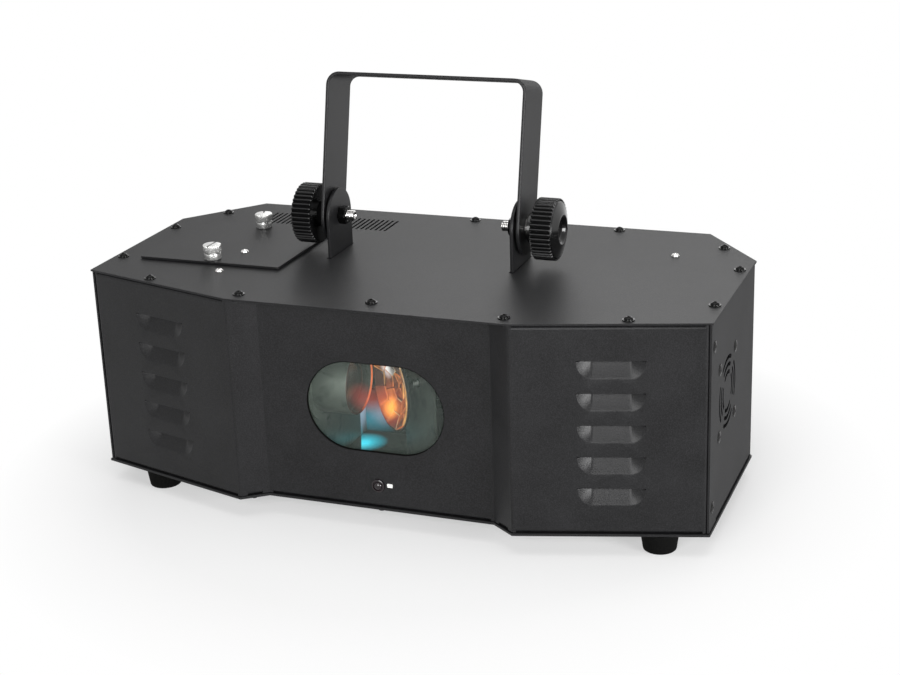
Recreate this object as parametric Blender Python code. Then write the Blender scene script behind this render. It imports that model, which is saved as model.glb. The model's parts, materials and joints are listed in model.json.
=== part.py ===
"""LED flower effect light: a folded steel housing with a tilting bracket and a turning mirror dish.

Metres, +Z up, front towards -Y. The origin is at the centre of the outer box, on the floor plane.
Y positions are worked out from Y_FRONT, the line of the two front corners of the housing.
"""

import math

import bmesh
import bpy
from mathutils import Matrix, Vector
from mathutils.geometry import delaunay_2d_cdt

# Clearances
GAP = 0.0003
RUNNING_GAP = 0.0006

# Housing plan, seen from above
WIDTH = 0.380
DEPTH = 0.1911
FRONT_CORNER_X = 0.085
FRONT_CHAMFER = 0.0295
RECESS_X = 0.0707
RECESS = 0.0105
BACK_CORNER_X = 0.1523
REAR_CHAMFER = 0.0475
OVERHANG = 0.0008

# Housing height and sheet
HOUSING_HEIGHT = 0.1257
SHEET = 0.0012
TOP_SHEET = 0.0012
BASE_SHEET = 0.0015
FLANGE = 0.0095
FLANGE_END_GAP = 0.002
STEP_TAB = 0.008
STEP_TAB_WIDTH = 0.009
RETURN_FLANGE = 0.016

# Feet
FOOT_HEIGHT = 0.012
FOOT_TOP_R = 0.011
FOOT_FLOOR_R = 0.0095
FOOT_BORE_R = 0.0045
FOOT_WEB = 0.004
FOOT_ROUND = 0.0008
FOOT_SCREW_R = 0.002
FOOT_FROM_LEFT = 0.0355
FOOT_FROM_RIGHT = 0.0285
FOOT_FROM_FRONT = 0.0322
FOOT_FROM_BACK = 0.034

# Louvres, pressed inward, with the slit along the top edge
LOUVRE_COUNT = 5
LOUVRE_PITCH = 0.01875
LOUVRE_HEIGHT = 0.0107
LOUVRE_TOP = 0.038
LOUVRE_BOTTOM = 0.0247
LOUVRE_DEPTH = 0.0045
LOUVRE_LIP = 0.0006
LOUVRE_BANDS = 2
LOUVRE_STEPS = 3
LOUVRE_RAMP = 0.008
LOUVRE_FIRST_Z = 0.1040
LOUVRE_FROM_CORNER = 0.0364

# Window and infrared receiver
WINDOW_WIDTH = 0.085
WINDOW_HEIGHT = 0.0546
WINDOW_Z = 0.063
GLASS_THICK = 0.002
GLASS_LAP = 0.006
RECEIVER_Z = 0.0152
RECEIVER_HOLE_R = 0.0031
RECEIVER_RING_R = 0.004
RECEIVER_DOME_R = 0.0025
RECEIVER_DOME_RISE = 0.65
RECEIVER_DEPTH = 0.007
CLIP_WIDTH = 0.026
CLIP_SHEET = 0.001
CLIP_FOOT = 0.008
CLIP_LAP = 0.004

# Screws
SCREW_INSET = 0.005
SCREW_HOLE_R = 0.0016
SCREW_HOLE_SIDES = 6
SILVER_R = 0.0012
SILVER_PLACES = ((0.1426, 0.1414), (-0.1122, 0.0456))
HATCH_SCREW_OFFSET = (0.0127, -0.0177)
CHAMFER_SCREW_ALONG = 0.0648
STEP_SCREW_INSET = 0.0041
FRONT_SCREW_INSET = 0.0036
SIDE_SCREW_FRONT = 0.0285
SIDE_SCREW_REAR = 0.0195
BACK_SCREW_X = 0.096
RETURN_SCREW_Y = 0.0072
RETURN_SCREW_LOW = 0.0147
RETURN_SCREW_HIGH = 0.1097

# Bracket pivot
PIVOT_BACK = 0.1033
PIVOT_UP = 0.0229
EAR_R = 0.0165
EAR_SHEET = 0.002
EAR_INSIDE_X = 0.0573
EAR_NOTCH = 0.0018
STUD_R = 0.003
STUD_HOLE_R = 0.0034
STUD_TIP_X = 0.0475
STUD_BEVEL = 0.0005
STUD_CUP_R = 0.0018
STUD_CUP = 0.0009
NUT_FLATS = 0.010
NUT_THICK = 0.0048
FRICTION_WASHER = 0.0011
FRICTION_WASHER_R = 0.009
ARM_SHEET = 0.002
ARM_WIDTH = 0.0322
BAR_UP = 0.086
BRACKET_BEND_R = 0.008
BRACKET_LEAN = math.radians(13.3)
CLAMP_HOLE_R = 0.00525
SIDE_HOLE_R = 0.00325
SIDE_HOLE_X = 0.022

# Clamping knobs
STEEL_WASHER = 0.0012
STEEL_WASHER_R = 0.007
KNOB_BOSS = 0.0049
KNOB_BOSS_R = 0.009
KNOB_LENGTH = 0.0152
KNOB_R = 0.0184
KNOB_RIBS = 40
KNOB_GROOVE = 0.0009
KNOB_FACE_R = 0.0155
KNOB_FRONT_EDGE = 0.0022
KNOB_RECESS_R = 0.009
KNOB_RECESS = 0.0045
KNOB_RECESS_FLOOR_R = 0.0055
STUD_IN_KNOB = 0.0075

# Service hatch on the top plate
HATCH_OFF_MIDDLE = 0.00035
HATCH_WIDTH = 0.094
HATCH_FROM_BACK = 0.0521
HATCH_DEPTH = 0.083
HATCH_SHEET = 0.0015
HATCH_CORNER_R = 0.0015
HATCH_OPENING_WIDTH = 0.074
HATCH_OPENING_DEPTH = 0.052
THUMB_EDGE = 0.0062
THUMB_HEAD_R = 0.0056
THUMB_HEAD = 0.0046
THUMB_SHOULDER_R = 0.0052
THUMB_SHOULDER = 0.0044
THUMB_KNURLS = 20
THUMB_SLOT = 0.0011
THUMB_SLOT_DEPTH = 0.0013
THUMB_STUD_R = 0.002
THUMB_STUD_LENGTH = 0.007
THUMB_KNURL = 0.0003
THUMB_BEVEL = 0.0004
CLINCH_NUT_R = 0.004
CLINCH_NUT = 0.003

# Vent slots behind the hatch
VENT_COUNT = 27
VENT_PITCH = 0.0033
VENT_WIDTH = 0.0014
VENT_LENGTH = 0.0235
VENT_LAST_X = -0.0485
VENT_FROM_BACK = 0.0186

# Side fan and its grille
FAN_SIZE = 0.050
FAN_THICK = 0.015
FAN_SCREW_PITCH = 0.040
FAN_DUCT_R = 0.0235
FAN_HUB_R = 0.011
FAN_TIP_CLEARANCE = 0.0012
FAN_BLADES = 7
FAN_BLADE = 0.0012
FAN_BLADE_CHORD = (0.0105, 0.0145)
FAN_BLADE_PITCH = (math.radians(48), math.radians(32))
FAN_SPIDER = 0.002
FAN_STRUT = 0.003
FAN_CORNER_R = 0.003
FAN_HOLE_R = 0.0022
FAN_BACK = 0.0714
FAN_Z = 0.071
GRILLE_RADII = (0.0200, 0.0156, 0.0112)
GRILLE_STEPS = (4, 3, 3)
GRILLE_SLOT = 0.0024
GRILLE_ARC = math.radians(60)
GRILLE_TURN = math.radians(6)

# Optics
AXIS_Z = 0.062
AXIS_BACK = 0.0505
DISH_X = 0.0
DISH_R = 0.026
DISH_HOLLOW = 0.007
DISH_SHEET = 0.0015
DISH_RINGS = ((4, 0.0020, 0.0092), (8, 0.0092, 0.0172), (12, 0.0172, 0.0255))
DISH_SIDES = 24
DISH_HUB_R = 0.005
DISH_HUB = 0.006
MIRROR_THICK = 0.0008
MIRROR_MARGIN = 0.0005
MIRROR_SUNK = 0.0006
SHAFT_R = 0.0025
MOTOR_PLATE_BACK = 0.011
MOTOR_PLATE_WIDTH = 0.044
MOTOR_PLATE_ABOVE = 0.022
MOTOR_PLATE_FOOT = 0.018
MOTOR_R = 0.0175
MOTOR_LENGTH = 0.020
MOTOR_ROUND = 0.001
LENS_X = -0.027
LENS_SIDES = 20
LENS_R = 0.018
LENS_THICK = 0.007
LENS_EDGE = 0.002
LENS_RING = 0.002
LENS_LEDGE = 0.0018
LENS_TUBE = 0.024
LENS_FLANGE_R = 0.025
LENS_FLANGE = 0.002
LED_HOLE_R = 0.0165
LED_BOARD_SIZE = 0.044
LED_BOARD = 0.0016
LED_CHIP_SIZE = 0.006
LED_CHIP = 0.0018
LED_CHIP_OFFSET = 0.0075
SINK_SIZE = 0.052
SINK_BASE = 0.004
SINK_FIN = 0.0015
SINK_FINS = 8
SINK_FIN_LENGTH = 0.024
CHASSIS_SHEET = 0.0015
CHASSIS_HEIGHT = 0.095
CHASSIS_RIGHT_X = 0.072
CHASSIS_FROM_FRONT = 0.024
CHASSIS_DEPTH = 0.088

# Power supply, standing on the floor of the right bay
SUPPLY_OFF_MIDDLE = 0.007
SUPPLY_BACK = 0.092
SUPPLY_SIZE = (0.080, 0.056)
SUPPLY_LIFT = 0.006
SUPPLY_BOARD = 0.0016
SUPPLY_POST_R = 0.003
SUPPLY_POST_INSET = 0.005
TRANSFORMER_SIZE = (0.026, 0.024, 0.024)
TRANSFORMER_ROUND = 0.002
TRANSFORMER_RIGHT = 0.018
CAPACITOR_R = 0.009
CAPACITOR = 0.024
CAPACITOR_ROUND = 0.0008
CAPACITOR_LEFT = 0.018
SUPPLY_SINK_SIZE = (0.003, 0.044, 0.026)

# Rear panel
INLET_X = 0.110
INLET_Z = 0.040
INLET_FLANGE_SIZE = (0.030, 0.048)
INLET_FLANGE = 0.0024
INLET_BODY_SIZE = (0.0270, 0.0450)
INLET_BODY = 0.024
INLET_CORNER_R = 0.002
SOCKET_SIZE = (0.0245, 0.0165)
SOCKET_BEVEL = 0.004
SOCKET_DROP = 0.009
SOCKET_DEPTH = 0.0165
PIN_SIZE = (0.002, 0.004)
PIN_LENGTH = 0.0115
PIN_SPREAD = 0.007
PIN_EARTH_UP = 0.004
DRAWER_SIZE = (0.0230, 0.0110)
DRAWER_RISE = 0.013
DRAWER_DEPTH = 0.020
DRAWER_PROUD = 0.0012
DRAWER_GRIP = (0.010, 0.0035)
DRAWER_GRIP_DEPTH = 0.0025
DMX_OUT_X = 0.050
DMX_IN_X = 0.010
DMX_Z = 0.040
DMX_FLANGE_SIZE = (0.026, 0.031)
DMX_FLANGE = 0.0018
DMX_CORNER_R = 0.003
DMX_SIDES = 16
DMX_BARREL_R = 0.0118
DMX_BARREL = 0.020
DMX_CAVITY_R = 0.0095
DMX_CAVITY = 0.013
DMX_FACE_DEPTH = 0.0012
DMX_PIN_R = 0.0012
DMX_PIN = 0.010
DMX_PIN_CIRCLE_R = 0.0040
DMX_PIN_HOLE_R = 0.0015
DMX_PIN_HOLE = 0.010
DMX_SCREW_X = 0.0095
DMX_SCREW_Z = 0.012
DMX_LATCH_SIZE = (0.0050, 0.0022)
DMX_LATCH_UP = 0.0097
DMX_LATCH_PROUD = 0.0016
DMX_LATCH_DEPTH = 0.006
DMX_LATCH_TRAVEL = 0.001
BOARD_X = -0.070
BOARD_Z = 0.078
BOARD_SIZE = (0.084, 0.052)
BOARD_SETBACK = 0.010
BOARD_THICK = 0.0016
BOARD_POST_R = 0.0025
BOARD_POST_INSET = 0.005
DISPLAY_RISE = 0.010
DISPLAY_SIZE = (0.034, 0.015)
DISPLAY_SUNK = 0.0002
BUTTON_SIDES = 10
BUTTON_R = 0.0030
BUTTON_COLLAR_R = 0.0042
BUTTON_COLLAR = 0.0012
BUTTON_STEM_R = 0.0015
BUTTON_PROUD = 0.0018
BUTTON_PITCH = 0.014
BUTTON_DROP = 0.013
BUTTON_TRAVEL = 0.0012
BUTTON_NAMES = ("menu_button", "down_button", "up_button", "enter_button")
SWITCH_SIZE = 0.006
SWITCH_HEIGHT = 0.0035
EYE_X = -0.122
EYE_Z = 0.035
EYE_SIDES = 8
EYE_ROD_R = 0.002
EYE_BEND_R = 0.008
EYE_LEG = 0.004
EYE_INSIDE = 0.008
EYE_NUT_FLATS = 0.007
EYE_NUT = 0.0032

# Places worked out from the sizes above
HALF_W = WIDTH / 2
BACK_REACH = EYE_LEG + EYE_BEND_R + EYE_ROD_R
Y_FRONT = -(DEPTH + BACK_REACH - OVERHANG) / 2
Z_BASE = FOOT_HEIGHT
Z_FLOOR = Z_BASE + BASE_SHEET
Z_TOP = Z_BASE + HOUSING_HEIGHT
Z_CEILING = Z_TOP - TOP_SHEET
WALL_LOW = Z_FLOOR + GAP
WALL_HIGH = Z_CEILING - GAP
FOLD_X = HALF_W - SHEET - GAP
FOLD_BACK = FRONT_CHAMFER * (FOLD_X - FRONT_CORNER_X) / (HALF_W - FRONT_CORNER_X)
PIVOT_Y = Y_FRONT + PIVOT_BACK
PIVOT_Z = Z_TOP + PIVOT_UP
EAR_OUTSIDE_X = EAR_INSIDE_X + EAR_SHEET
ARM_INSIDE_X = EAR_OUTSIDE_X + FRICTION_WASHER + 2 * GAP
ARM_OUTSIDE_X = ARM_INSIDE_X + ARM_SHEET
STEEL_WASHER_X = ARM_OUTSIDE_X + GAP
KNOB_BOSS_X = STEEL_WASHER_X + STEEL_WASHER + GAP
HATCH_X = -(HALF_W + EAR_OUTSIDE_X) / 2 - HATCH_OFF_MIDDLE
HATCH_Y = Y_FRONT + DEPTH - HATCH_FROM_BACK - HATCH_DEPTH / 2
HATCH_Z = Z_TOP + GAP
THUMB_Z = HATCH_Z + HATCH_SHEET + GAP
THUMB_OFFSET = HATCH_DEPTH / 2 - THUMB_EDGE
FAN_Y = Y_FRONT + FAN_BACK
FAN_CENTRE_Z = Z_BASE + FAN_Z
OPTIC_Y = Y_FRONT + AXIS_BACK
OPTIC_Z = Z_BASE + AXIS_Z
CHASSIS_Z = Z_FLOOR + GAP
BACK_Y = Y_FRONT + DEPTH
SIDE_SCREW_Y = Y_FRONT + FRONT_CHAMFER + RETURN_SCREW_Y
SIDE_SCREW_ZS = (Z_BASE + RETURN_SCREW_LOW, Z_BASE + RETURN_SCREW_HIGH)
LENS_TUBE_X = LENS_X - LENS_TUBE
PARTITION_X = LENS_TUBE_X - GAP
LED_BOARD_X = PARTITION_X - CHASSIS_SHEET - GAP
SINK_X = LED_BOARD_X - LED_BOARD - GAP
DISH_FACING = Vector((-1.0, -1.0, 0.0)).normalized()
DISH_CENTRE = Vector((DISH_X, OPTIC_Y, OPTIC_Z))
EAR_WEB_Z = Z_CEILING - GAP - EAR_SHEET
VENT_Y = BACK_Y - VENT_FROM_BACK - VENT_LENGTH / 2
SUPPLY_X = (CHASSIS_RIGHT_X + HALF_W) / 2 - SUPPLY_OFF_MIDDLE
FOOT_PLACES = {
    "foot_front_left": (FOOT_FROM_LEFT - HALF_W, Y_FRONT + FOOT_FROM_FRONT),
    "foot_front_right": (HALF_W - FOOT_FROM_RIGHT, Y_FRONT + FOOT_FROM_FRONT),
    "foot_rear_left": (FOOT_FROM_LEFT - HALF_W, BACK_Y - FOOT_FROM_BACK),
    "foot_rear_right": (HALF_W - FOOT_FROM_RIGHT, BACK_Y - FOOT_FROM_BACK),
}

# Plan corners of the housing, counter-clockwise from above
FRONT_LINE = [
    (-FOLD_X, Y_FRONT + FOLD_BACK + RETURN_FLANGE),
    (-FOLD_X, Y_FRONT + FOLD_BACK),
    (-FRONT_CORNER_X, Y_FRONT),
    (-RECESS_X, Y_FRONT + RECESS),
    (RECESS_X, Y_FRONT + RECESS),
    (FRONT_CORNER_X, Y_FRONT),
    (FOLD_X, Y_FRONT + FOLD_BACK),
    (FOLD_X, Y_FRONT + FOLD_BACK + RETURN_FLANGE),
]
REAR_LINE = [
    (HALF_W, Y_FRONT + FRONT_CHAMFER),
    (HALF_W, BACK_Y - REAR_CHAMFER),
    (BACK_CORNER_X, BACK_Y),
    (-BACK_CORNER_X, BACK_Y),
    (-HALF_W, BACK_Y - REAR_CHAMFER),
    (-HALF_W, Y_FRONT + FRONT_CHAMFER),
]
TOP_OUTLINE = [
    (-FRONT_CORNER_X, Y_FRONT),
    (FRONT_CORNER_X, Y_FRONT),
    *REAR_LINE,
]
BASE_OUTLINE = [
    (-FRONT_CORNER_X, Y_FRONT),
    (-RECESS_X, Y_FRONT + RECESS),
    (RECESS_X, Y_FRONT + RECESS),
    (FRONT_CORNER_X, Y_FRONT),
    *REAR_LINE,
]


# Scene and materials


def clear_scene():
    for obj in list(bpy.data.objects):
        bpy.data.objects.remove(obj, do_unlink=True)


def material(name, colour, roughness, metallic=0.0, alpha=1.0):
    made = bpy.data.materials.new(name)
    made.use_nodes = True
    shader = made.node_tree.nodes["Principled BSDF"]
    shader.inputs["Base Color"].default_value = (*colour, 1.0)
    shader.inputs["Roughness"].default_value = roughness
    shader.inputs["Metallic"].default_value = metallic
    shader.inputs["Alpha"].default_value = alpha
    made.diffuse_color = (*colour, alpha)
    return made


# Flat outlines, as lists of (x, y) points


def moved(points, x, y):
    return [(px + x, py + y) for px, py in points]


def mirrored(points):
    return [(-x, y) for x, y in reversed(points)]


def arc(radius, start, end, steps, x=0.0, y=0.0):
    angles = [start + (end - start) * i / steps for i in range(steps + 1)]
    return [(x + radius * math.cos(a), y + radius * math.sin(a)) for a in angles]


def circle(radius, sides, x=0.0, y=0.0):
    return arc(radius, 0.0, 2 * math.pi, sides, x, y)[:-1]


def screw_hole(x, y):
    return circle(SCREW_HOLE_R, SCREW_HOLE_SIDES, x, y)


def box_outline(width, height, x=0.0, y=0.0):
    w, h = width / 2, height / 2
    return moved([(-w, -h), (w, -h), (w, h), (-w, h)], x, y)


def rounded_box(width, height, radius, steps, x=0.0, y=0.0):
    w, h = width / 2 - radius, height / 2 - radius
    points = []
    for quarter, (cx, cy) in enumerate([(w, h), (-w, h), (-w, -h), (w, -h)]):
        start = quarter * math.pi / 2
        points += arc(radius, start, start + math.pi / 2, steps, cx, cy)
    return moved(points, x, y)


def stadium(width, height, steps, x=0.0, y=0.0):
    radius = height / 2
    reach = width / 2 - radius
    right = arc(radius, -math.pi / 2, math.pi / 2, steps, reach, 0.0)
    left = arc(radius, math.pi / 2, 3 * math.pi / 2, steps, -reach, 0.0)
    return moved(right + left, x, y)


def arc_slot(radius, width, middle, spread, steps, x=0.0, y=0.0):
    """A slot bent along a circle, with pointed-round ends."""
    start, end = middle - spread / 2, middle + spread / 2
    outer = arc(radius + width / 2, start, end, steps, x, y)
    inner = arc(radius - width / 2, end, start, steps, x, y)
    tip = width / 2 / radius
    tips = arc(radius, end + tip, start - tip, 1, x, y)
    return outer + tips[:1] + inner + tips[1:]


def offset_outline(points, distance):
    """Moves each side of a counter-clockwise outline outward by the distance."""
    moved_points = []
    for i, point in enumerate(points):
        here = Vector(point)
        before = (here - Vector(points[i - 1])).normalized()
        after = (Vector(points[(i + 1) % len(points)]) - here).normalized()
        n1 = Vector((before.y, -before.x))
        n2 = Vector((after.y, -after.x))
        moved_points.append(tuple(here + (n1 + n2) * distance / (1 + n1.dot(n2))))
    return moved_points


def along(line, index, distance, inset=0.0):
    """The point at a distance along one side of a line, inset to its inner (left) side."""
    a, b = Vector(line[index]), Vector(line[index + 1])
    u = (b - a).normalized()
    return tuple(a + u * distance + Vector((-u.y, u.x)) * inset)


def side_length(line, index):
    return (Vector(line[index + 1]) - Vector(line[index])).length


# Solids


def inside(point, loop):
    """Whether a point is inside an outline, counting crossings of a line to its right."""
    x, y = point
    odd = False
    for (ax, ay), (bx, by) in zip(loop, loop[1:] + loop[:1]):
        if (ay > y) != (by > y) and x < ax + (bx - ax) * (y - ay) / (by - ay):
            odd = not odd
    return odd


def triangles(outline, holes):
    """Triangulates an outline with holes, keeping every point of its edges.

    It gives all points, triangles counter-clockwise, and the number of points of each loop.
    """
    loops = [list(outline), *[list(hole) for hole in holes]]
    points = [p for loop in loops for p in loop]
    edges = []
    start = 0
    for loop in loops:
        edges += [(start + i, start + (i + 1) % len(loop)) for i in range(len(loop))]
        start += len(loop)
    flat = [Vector(p) for p in points]
    _, _, found, origins, _, _ = delaunay_2d_cdt(flat, edges, [], 0, 1e-9)
    faces = []
    for corners in found:
        a, b, c = [origins[k][0] for k in corners]
        pa, pb, pc = points[a], points[b], points[c]
        middle = ((pa[0] + pb[0] + pc[0]) / 3, (pa[1] + pb[1] + pc[1]) / 3)
        if not inside(middle, loops[0]) or any(inside(middle, hole) for hole in loops[1:]):
            continue
        area = (pb[0] - pa[0]) * (pc[1] - pa[1]) - (pc[0] - pa[0]) * (pb[1] - pa[1])
        faces.append((a, b, c) if area > 0 else (a, c, b))
    return points, faces, [len(loop) for loop in loops]


def add_plate(bm, outline, holes, low, high, place=None):
    """Adds a flat plate between two heights, placed by a matrix."""
    place = place or Matrix.Identity(4)
    points, faces, counts = triangles(outline, holes)
    bottom = [bm.verts.new(place @ Vector((x, y, low))) for x, y in points]
    top = [bm.verts.new(place @ Vector((x, y, high))) for x, y in points]
    for a, b, c in faces:
        bm.faces.new((top[a], top[b], top[c]))
        bm.faces.new((bottom[c], bottom[b], bottom[a]))
    start = 0
    for count in counts:
        for i in range(count):
            a, b = start + i, start + (i + 1) % count
            bm.faces.new((bottom[a], bottom[b], top[b], top[a]))
        start += count


def add_box(bm, low, high, place=None):
    (x0, y0, z0), (x1, y1, z1) = low, high
    add_plate(bm, [(x0, y0), (x1, y0), (x1, y1), (x0, y1)], [], z0, z1, place)


def add_turned(bm, profile, sides, place=None):
    """Adds a solid of revolution about Z. The profile's (radius, z) points go up its outer side
    and come back down its inner side, or end on the axis."""
    place = place or Matrix.Identity(4)
    rings = []
    for radius, z in profile:
        if radius < 1e-7:
            rings.append([bm.verts.new(place @ Vector((0.0, 0.0, z)))] * sides)
            continue
        ring = []
        for i in range(sides):
            angle = 2 * math.pi * i / sides
            point = Vector((radius * math.cos(angle), radius * math.sin(angle), z))
            ring.append(bm.verts.new(place @ point))
        rings.append(ring)
    closed = profile[0][0] > 1e-7
    count = len(rings) if closed else len(rings) - 1
    for j in range(count):
        a, b = rings[j], rings[(j + 1) % len(rings)]
        for i in range(sides):
            k = (i + 1) % sides
            corners = list(dict.fromkeys((a[i], a[k], b[k], b[i])))
            if len(corners) > 2:
                bm.faces.new(corners)


def add_loft(bm, sections):
    """Joins equal rings of points into a skin, and closes its two ends."""
    rings = [[bm.verts.new(p) for p in section] for section in sections]
    size = len(rings[0])
    for a, b in zip(rings, rings[1:]):
        for i in range(size):
            k = (i + 1) % size
            bm.faces.new((a[i], a[k], b[k], b[i]))
    bm.faces.new(list(reversed(rings[0])))
    bm.faces.new(rings[-1])


def finish(name, bm, skin, origin=(0.0, 0.0, 0.0), smooth=None, parent=None):
    """Makes a named object of the mesh, whose points are relative to its origin."""
    bmesh.ops.remove_doubles(bm, verts=bm.verts, dist=1e-7)
    bmesh.ops.recalc_face_normals(bm, faces=bm.faces)
    mesh = bpy.data.meshes.new(name)
    bm.to_mesh(mesh)
    bm.free()
    mesh.materials.append(skin)
    if smooth is not None:
        mesh.shade_smooth()
        mesh.set_sharp_from_angle(angle=math.radians(smooth))
    obj = bpy.data.objects.new(name, mesh)
    bpy.context.scene.collection.objects.link(obj)
    obj.location = origin
    if parent is not None:
        bpy.context.view_layer.update()
        obj.parent = parent
        obj.matrix_parent_inverse = parent.matrix_world.inverted()
    return obj


def combined(obj, others, operation):
    """Applies one Boolean for each of the other objects, then deletes them."""
    for other in others:
        step = obj.modifiers.new(operation.title(), "BOOLEAN")
        step.operation = operation
        step.solver = "EXACT"
        step.object = other
    graph = bpy.context.evaluated_depsgraph_get()
    graph.update()
    mesh = bpy.data.meshes.new_from_object(obj.evaluated_get(graph))
    obj.modifiers.clear()
    obj.data = mesh
    mesh.name = obj.name
    for other in others:
        bpy.data.objects.remove(other, do_unlink=True)
    return obj


def axis_frame(origin, direction, up=(0.0, 0.0, 1.0)):
    """A matrix whose Z axis runs along the direction."""
    z = Vector(direction).normalized()
    x = Vector(up).cross(z)
    if x.length < 1e-6:
        x = Vector((1.0, 0.0, 0.0))
    x.normalize()
    y = z.cross(x)
    place = Matrix((x, y, z)).transposed().to_4x4()
    place.translation = Vector(origin)
    return place


# Folded sheet


def add_face(bm, origin, u, v, outline, holes=()):
    """Adds a flat face of the sheet's outer side. Its normal is u cross v."""
    points, faces, _ = triangles(outline, list(holes))
    base, u, v = Vector(origin), Vector(u), Vector(v)
    verts = [bm.verts.new(base + u * x + v * y) for x, y in points]
    for a, b, c in faces:
        bm.faces.new((verts[a], verts[b], verts[c]))


def add_wall(bm, line, index, holes=(), flange=None, seam=()):
    """Adds one upright wall of a folded sheet, with equal flanges at its top and bottom edges.

    Holes are (s, z) outlines, with s along the wall. A flange is (start, end, depth, slope), and
    its ends are mitred by slope times its depth. The seam has the screw places of all walls.
    """
    a, b = Vector(line[index]), Vector(line[index + 1])
    direction = (b - a).normalized()
    u = Vector((direction.x, direction.y, 0.0))
    inward = Vector((-direction.y, direction.x, 0.0))
    length = (b - a).length
    start, end, depth, slope = flange or (0.0, length, 0.0, 0.0)
    outline = [(0.0, WALL_LOW), (length, WALL_LOW), (length, WALL_HIGH), (0.0, WALL_HIGH)]
    if flange:
        outline[1:1] = [(start, WALL_LOW), (end, WALL_LOW)]
        outline[5:5] = [(end, WALL_HIGH), (start, WALL_HIGH)]
    add_face(bm, (a.x, a.y, 0.0), u, (0.0, 0.0, 1.0), outline, holes)
    if not flange:
        return
    cut = depth * slope
    shape = [(start, 0.0), (end, 0.0), (end - cut, depth), (start + cut, depth)]
    screws = [screw_hole(s, inset) for wall, s, inset in seam if wall == index]
    add_face(bm, (a.x, a.y, WALL_HIGH), u, inward, shape, screws)
    under = [[(s, -inset) for s, inset in loop] for loop in [shape, *screws]]
    add_face(bm, (a.x, a.y, WALL_LOW), u, -inward, under[0], under[1:])


def finish_sheet(name, bm, skin, thickness, origin=(0.0, 0.0, 0.0), turn=(0.0, 0.0, 0.0)):
    """Welds the outer faces of a folded sheet and gives them their thickness, inward."""
    bmesh.ops.remove_doubles(bm, verts=bm.verts, dist=1e-6)
    mesh = bpy.data.meshes.new(name)
    bm.to_mesh(mesh)
    bm.free()
    mesh.materials.append(skin)
    obj = bpy.data.objects.new(name, mesh)
    bpy.context.scene.collection.objects.link(obj)
    obj.location = origin
    obj.rotation_euler = turn
    step = obj.modifiers.new("Sheet thickness", "SOLIDIFY")
    step.thickness = thickness
    step.offset = -1.0
    step.use_even_offset = True
    step.use_quality_normals = True
    return obj


def louvre_edge(middle, top_z):
    """The pressed edge of one louvre: down one end, along the bottom and up the other end."""
    reach = (LOUVRE_TOP - LOUVRE_BOTTOM) / 2
    left = []
    for i in range(LOUVRE_STEPS + 1):
        angle = math.pi / 2 * i / LOUVRE_STEPS
        x = -LOUVRE_TOP / 2 + reach * (1 - math.cos(angle))
        left.append((x, top_z - LOUVRE_HEIGHT * math.sin(angle)))
    right = mirrored(left)
    return moved(left + right, middle, 0.0)


def add_louvre(bm, line, index, middle, top_z):
    """Adds one pressed scoop and gives its outline, for the hole in the wall.

    Each point of the pressed edge is joined by bands to a point of the slit's lower lip straight
    above it, which lies deeper the further it is from the louvre's two ends.
    """
    edge = louvre_edge(middle, top_z)
    a, b = Vector(line[index]), Vector(line[index + 1])
    direction = (b - a).normalized()
    u = Vector((direction.x, direction.y, 0.0))
    inward = Vector((-direction.y, direction.x, 0.0))
    rows = []
    for band in range(LOUVRE_BANDS + 1):
        rise = band / LOUVRE_BANDS
        row = []
        for s, z in edge:
            reach = min(1.0, (LOUVRE_TOP / 2 - abs(s - middle)) / LOUVRE_RAMP)
            depth = LOUVRE_DEPTH * math.sin(reach * math.pi / 2) * math.sin(rise * math.pi / 2)
            lip_z = top_z - LOUVRE_LIP * math.ceil(reach - 1e-6)
            point = Vector((a.x, a.y, z + (lip_z - z) * rise)) + u * s + inward * depth
            row.append(bm.verts.new(point))
        rows.append(row)
    for low, high in zip(rows, rows[1:]):
        for i in range(len(edge) - 1):
            bm.faces.new((low[i], low[i + 1], high[i + 1], high[i]))
    return edge


def flange(line, index, start_gap=FLANGE_END_GAP, end_gap=FLANGE_END_GAP):
    """A flange along nearly all of a wall, mitred at 45 degrees."""
    return (start_gap, side_length(line, index) - end_gap, FLANGE, 1.0)


def tab(line, index):
    """A short square tab in the middle of a wall."""
    middle = side_length(line, index) / 2
    return (middle - STEP_TAB_WIDTH / 2, middle + STEP_TAB_WIDTH / 2, STEP_TAB, 0.0)


def front_seam():
    """The screws in the front panel's flanges, as (wall, distance along it, inset)."""
    chamfer = side_length(FRONT_LINE, 1)
    step = side_length(FRONT_LINE, 2) / 2
    return [
        (1, chamfer - CHAMFER_SCREW_ALONG, SCREW_INSET),
        (2, step, STEP_SCREW_INSET),
        (3, RECESS_X, FRONT_SCREW_INSET),
        (4, step, STEP_SCREW_INSET),
        (5, CHAMFER_SCREW_ALONG, SCREW_INSET),
    ]


def rear_seam():
    """The screws in the rear shell's flanges, as (wall, distance along it, inset)."""
    side = side_length(REAR_LINE, 0)
    chamfer = side_length(REAR_LINE, 1) / 2
    back_xs = (BACK_SCREW_X, 0.0, -BACK_SCREW_X)
    return [
        (0, SIDE_SCREW_FRONT, SCREW_INSET),
        (0, side - SIDE_SCREW_REAR, SCREW_INSET),
        (1, chamfer, SCREW_INSET),
        *[(2, BACK_CORNER_X - x, SCREW_INSET) for x in back_xs],
        (3, chamfer, SCREW_INSET),
        (4, SIDE_SCREW_REAR, SCREW_INSET),
        (4, side - SIDE_SCREW_FRONT, SCREW_INSET),
    ]


def seam_places():
    places = [along(FRONT_LINE, *screw) for screw in front_seam()]
    return places + [along(REAR_LINE, *screw) for screw in rear_seam()]


# Shapes that several pieces share


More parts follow.
